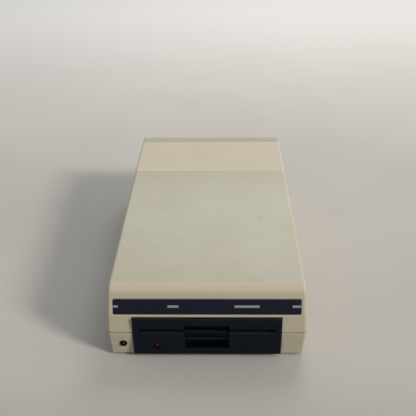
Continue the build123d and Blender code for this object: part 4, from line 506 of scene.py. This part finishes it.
def circuit_board(name, pitch):
    """Green solder resist with copper tracks showing through, and tinned pads on a grid."""
    material, tree, shader = new_material(name)
    point = on_object(tree)
    cell = place(tree, "TexVoronoi", {"Vector": point, "Scale": 1 / (cells_of_one_way * pitch)},
                 distance="MANHATTAN", feature="F1")
    draw = place(tree, "SeparateColor", {0: cell.outputs["Color"]}).outputs
    spot = axes(tree, point)
    across = sums(tree, "FRACT", sums(tree, "DIVIDE", spot["X"], pitch), 0.0)
    along = sums(tree, "FRACT", sums(tree, "DIVIDE", spot["Y"], pitch), 0.0)
    upright = sums(tree, "LESS_THAN", apart(tree, across, 0.5), track_half)
    level = sums(tree, "LESS_THAN", apart(tree, along, 0.5), track_half)
    way = sums(tree, "GREATER_THAN", draw[0], 0.5)
    track = sums(tree, "ADD", sums(tree, "MULTIPLY", upright, way),
                 sums(tree, "MULTIPLY", level, sums(tree, "SUBTRACT", 1.0, way)))
    track = sums(tree, "MULTIPLY", track, sums(tree, "GREATER_THAN", draw[1], 0.25))
    corner = place(tree, "CombineXYZ", {0: sums(tree, "SUBTRACT", across, 0.5),
                                        1: sums(tree, "SUBTRACT", along, 0.5)}).outputs[0]
    from_pad = place(tree, "VectorMath", {0: corner}, operation="LENGTH").outputs["Value"]
    pad = sums(tree, "MULTIPLY", sums(tree, "LESS_THAN", from_pad, pad_radius),
               sums(tree, "GREATER_THAN", noise(tree, point, 0.004, 0.0), 0.6))
    resist = use_group(tree, "uneven_age", Fresh=shade(30, 96, 54), Aged=shade(38, 84, 44), Patch=0.03,
                       Amount=0.7)["Color"]
    colour = blend(tree, sums(tree, "MULTIPLY", track, 0.6), resist, shade(64, 128, 66))
    colour = blend(tree, pad, colour, shade(196, 196, 190))
    dusty = use_group(tree, "settled_dust", Amount=0.3)["Mask"]
    tree.links.new(blend(tree, dusty, colour, shade(150, 146, 134)), shader.inputs["Base Color"])
    tree.links.new(sums(tree, "MULTIPLY", pad, 0.9), shader.inputs["Metallic"])
    tree.links.new(ramp(tree, dusty, 0.0, 0.3, 0.28, 0.55), shader.inputs["Roughness"])
    relief = sums(tree, "MAXIMUM", track, pad)
    edges = use_group(tree, "worn_edges", Reach=0.0002, Amount=0.0)
    bump = place(tree, "Bump", {"Height": relief, "Strength": 0.6, "Distance": 0.00004,
                                "Normal": edges["Normal"]})
    tree.links.new(bump.outputs["Normal"], shader.inputs["Normal"])
    return material


dress(circuit_board("green_circuit_board", grid_pitch), "main_board", "drive_board")
dress(plastic("chip_epoxy", (38, 38, 40), (52, 51, 50), 0.55, grain=0.0004, depth=0.00002, wear=0.35,
              worn=(96, 96, 96), dust=0.3), "chip_packages", "drive_board_parts", "power_semiconductors",
      "board_connectors")
dress(plastic("sleeved_can", (30, 44, 92), (38, 48, 84), 0.28, grain=0.002, depth=0.00001, wear=0.3,
              worn=(120, 130, 170), dust=0.3), "smoothing_capacitors")


# ---------------------------------------------------------------- power supply and rear panel
# The transformer is a stack of varnished iron sheets round a taped winding, on the case floor.
# A plated steel panel stands across the case's rear opening and holds the sockets.

dress(metal("varnished_laminations", (74, 70, 66), (58, 50, 42), 0.5, stretch=(60.0, 2500.0, 60.0),
            depth=0.00006, metallic=0.5, tarnish=0.6), "transformer_core")
dress(plastic("winding_tape_yellow", (206, 170, 66), (190, 150, 60), 0.35, grain=0.003, depth=0.00002,
              patch=0.01, wear=0.2, dust=0.2), "transformer_winding")
dress(metal("plated_rear_panel", (192, 194, 190), (168, 162, 142), 0.38, stretch=(300.0, 4000.0, 4000.0),
            patch=0.02), "rear_panel")
dress(metal("brass_pins", (214, 190, 120), (170, 146, 92), 0.25, tarnish=0.4), "inlet_pins")


# ---------------------------------------------------------------- floor, light and camera
# A pale floor under soft light: a key light from the right and a little to the front,
# a weaker one from high behind, and an even pale sky. The floor carries painted shade just in
# front of the drive and painted light that makes it paler far behind.

floor_size = 9.4
bpy.ops.mesh.primitive_plane_add(size=floor_size)
floor = bpy.context.object
floor.name = "floor"
pale, tree, shader = new_material("pale_floor")
point = on_object(tree)
cloudy = ramp(tree, noise(tree, point, 0.35, 3.0), 0.3, 0.7)
even = blend(tree, cloudy, shade(198, 194, 189), shade(192, 188, 183))
away = axes(tree, point)["Y"]
# Painted shade: the floor is darker just in front of the drive.
near = blend(tree, ramp(tree, away, -0.2, -0.34), even, shade(176, 172, 164))
# Painted light: the floor gets paler towards the back.
far = blend(tree, ramp(tree, away, 0.0, 2.2), near, shade(250, 248, 246))
tree.links.new(far, shader.inputs["Base Color"])
shader.inputs["Roughness"].default_value = 0.9
floor.data.materials.append(pale)


def soft_light(name, spot, target, size, power, tint):
    """Square area light that faces a target."""
    lamp = bpy.data.lights.new(name, "AREA")
    lamp.size = size
    lamp.energy = power
    lamp.color = tint
    holder = bpy.data.objects.new(name, lamp)
    bpy.context.scene.collection.objects.link(holder)
    holder.location = spot
    aim = holder.location - Matrix.Translation(target).translation
    holder.rotation_euler = aim.to_track_quat("Z", "Y").to_euler()
    return holder


drive_middle = (0.0, 0.0, 0.05)
soft_light("key_light", (8.0, -5.0, 5.5), drive_middle, 2.2, 792.0, (1.0, 0.94, 0.85))
soft_light("back_light", (0.45, 1.5, 1.8), drive_middle, 1.0, 15.0, (1.0, 0.98, 0.95))

sky_as_light = 0.34
sky_as_seen = 0.85         # by the camera, in reflections and through clear pieces
world = bpy.data.worlds.new("pale_sky")
bpy.context.scene.world = world
world.use_nodes = True
tree = world.node_tree
seen = place(tree, "LightPath").outputs
unbent = sums(tree, "MAXIMUM", seen["Is Camera Ray"], seen["Is Transmission Ray"])
direct = sums(tree, "MAXIMUM", unbent, seen["Is Glossy Ray"])
strength = ramp(tree, direct, 0.0, 1.0, sky_as_light, sky_as_seen)
tree.nodes["Background"].inputs["Color"].default_value = (0.93, 0.97, 1.0, 1.0)
tree.links.new(strength, tree.nodes["Background"].inputs["Strength"])

pitch = math.radians(27.62)
yaw = math.radians(-1.23)
roll = math.radians(-0.66)
forward = (math.sin(yaw) * math.cos(pitch), math.cos(yaw) * math.cos(pitch), -math.sin(pitch))
level = (math.cos(yaw), -math.sin(yaw), 0.0)
upward = (level[1] * forward[2] - level[2] * forward[1],
          level[2] * forward[0] - level[0] * forward[2],
          level[0] * forward[1] - level[1] * forward[0])
right = [math.cos(roll) * a + math.sin(roll) * b for a, b in zip(level, upward)]
top = [-math.sin(roll) * a + math.cos(roll) * b for a, b in zip(level, upward)]
view_from = (0.01355, -0.69848, 0.44062)
camera = bpy.data.objects.new("camera", bpy.data.cameras.new("camera"))
bpy.context.scene.collection.objects.link(camera)
camera.data.sensor_width = 36.0
camera.data.lens = 55.64
camera.data.clip_start = 0.01
camera.matrix_world = Matrix([
    [right[i], top[i], -forward[i], view_from[i]] for i in range(3)] + [[0.0, 0.0, 0.0, 1.0]])
bpy.context.scene.camera = camera
bpy.context.scene.view_settings.view_transform = "Standard"
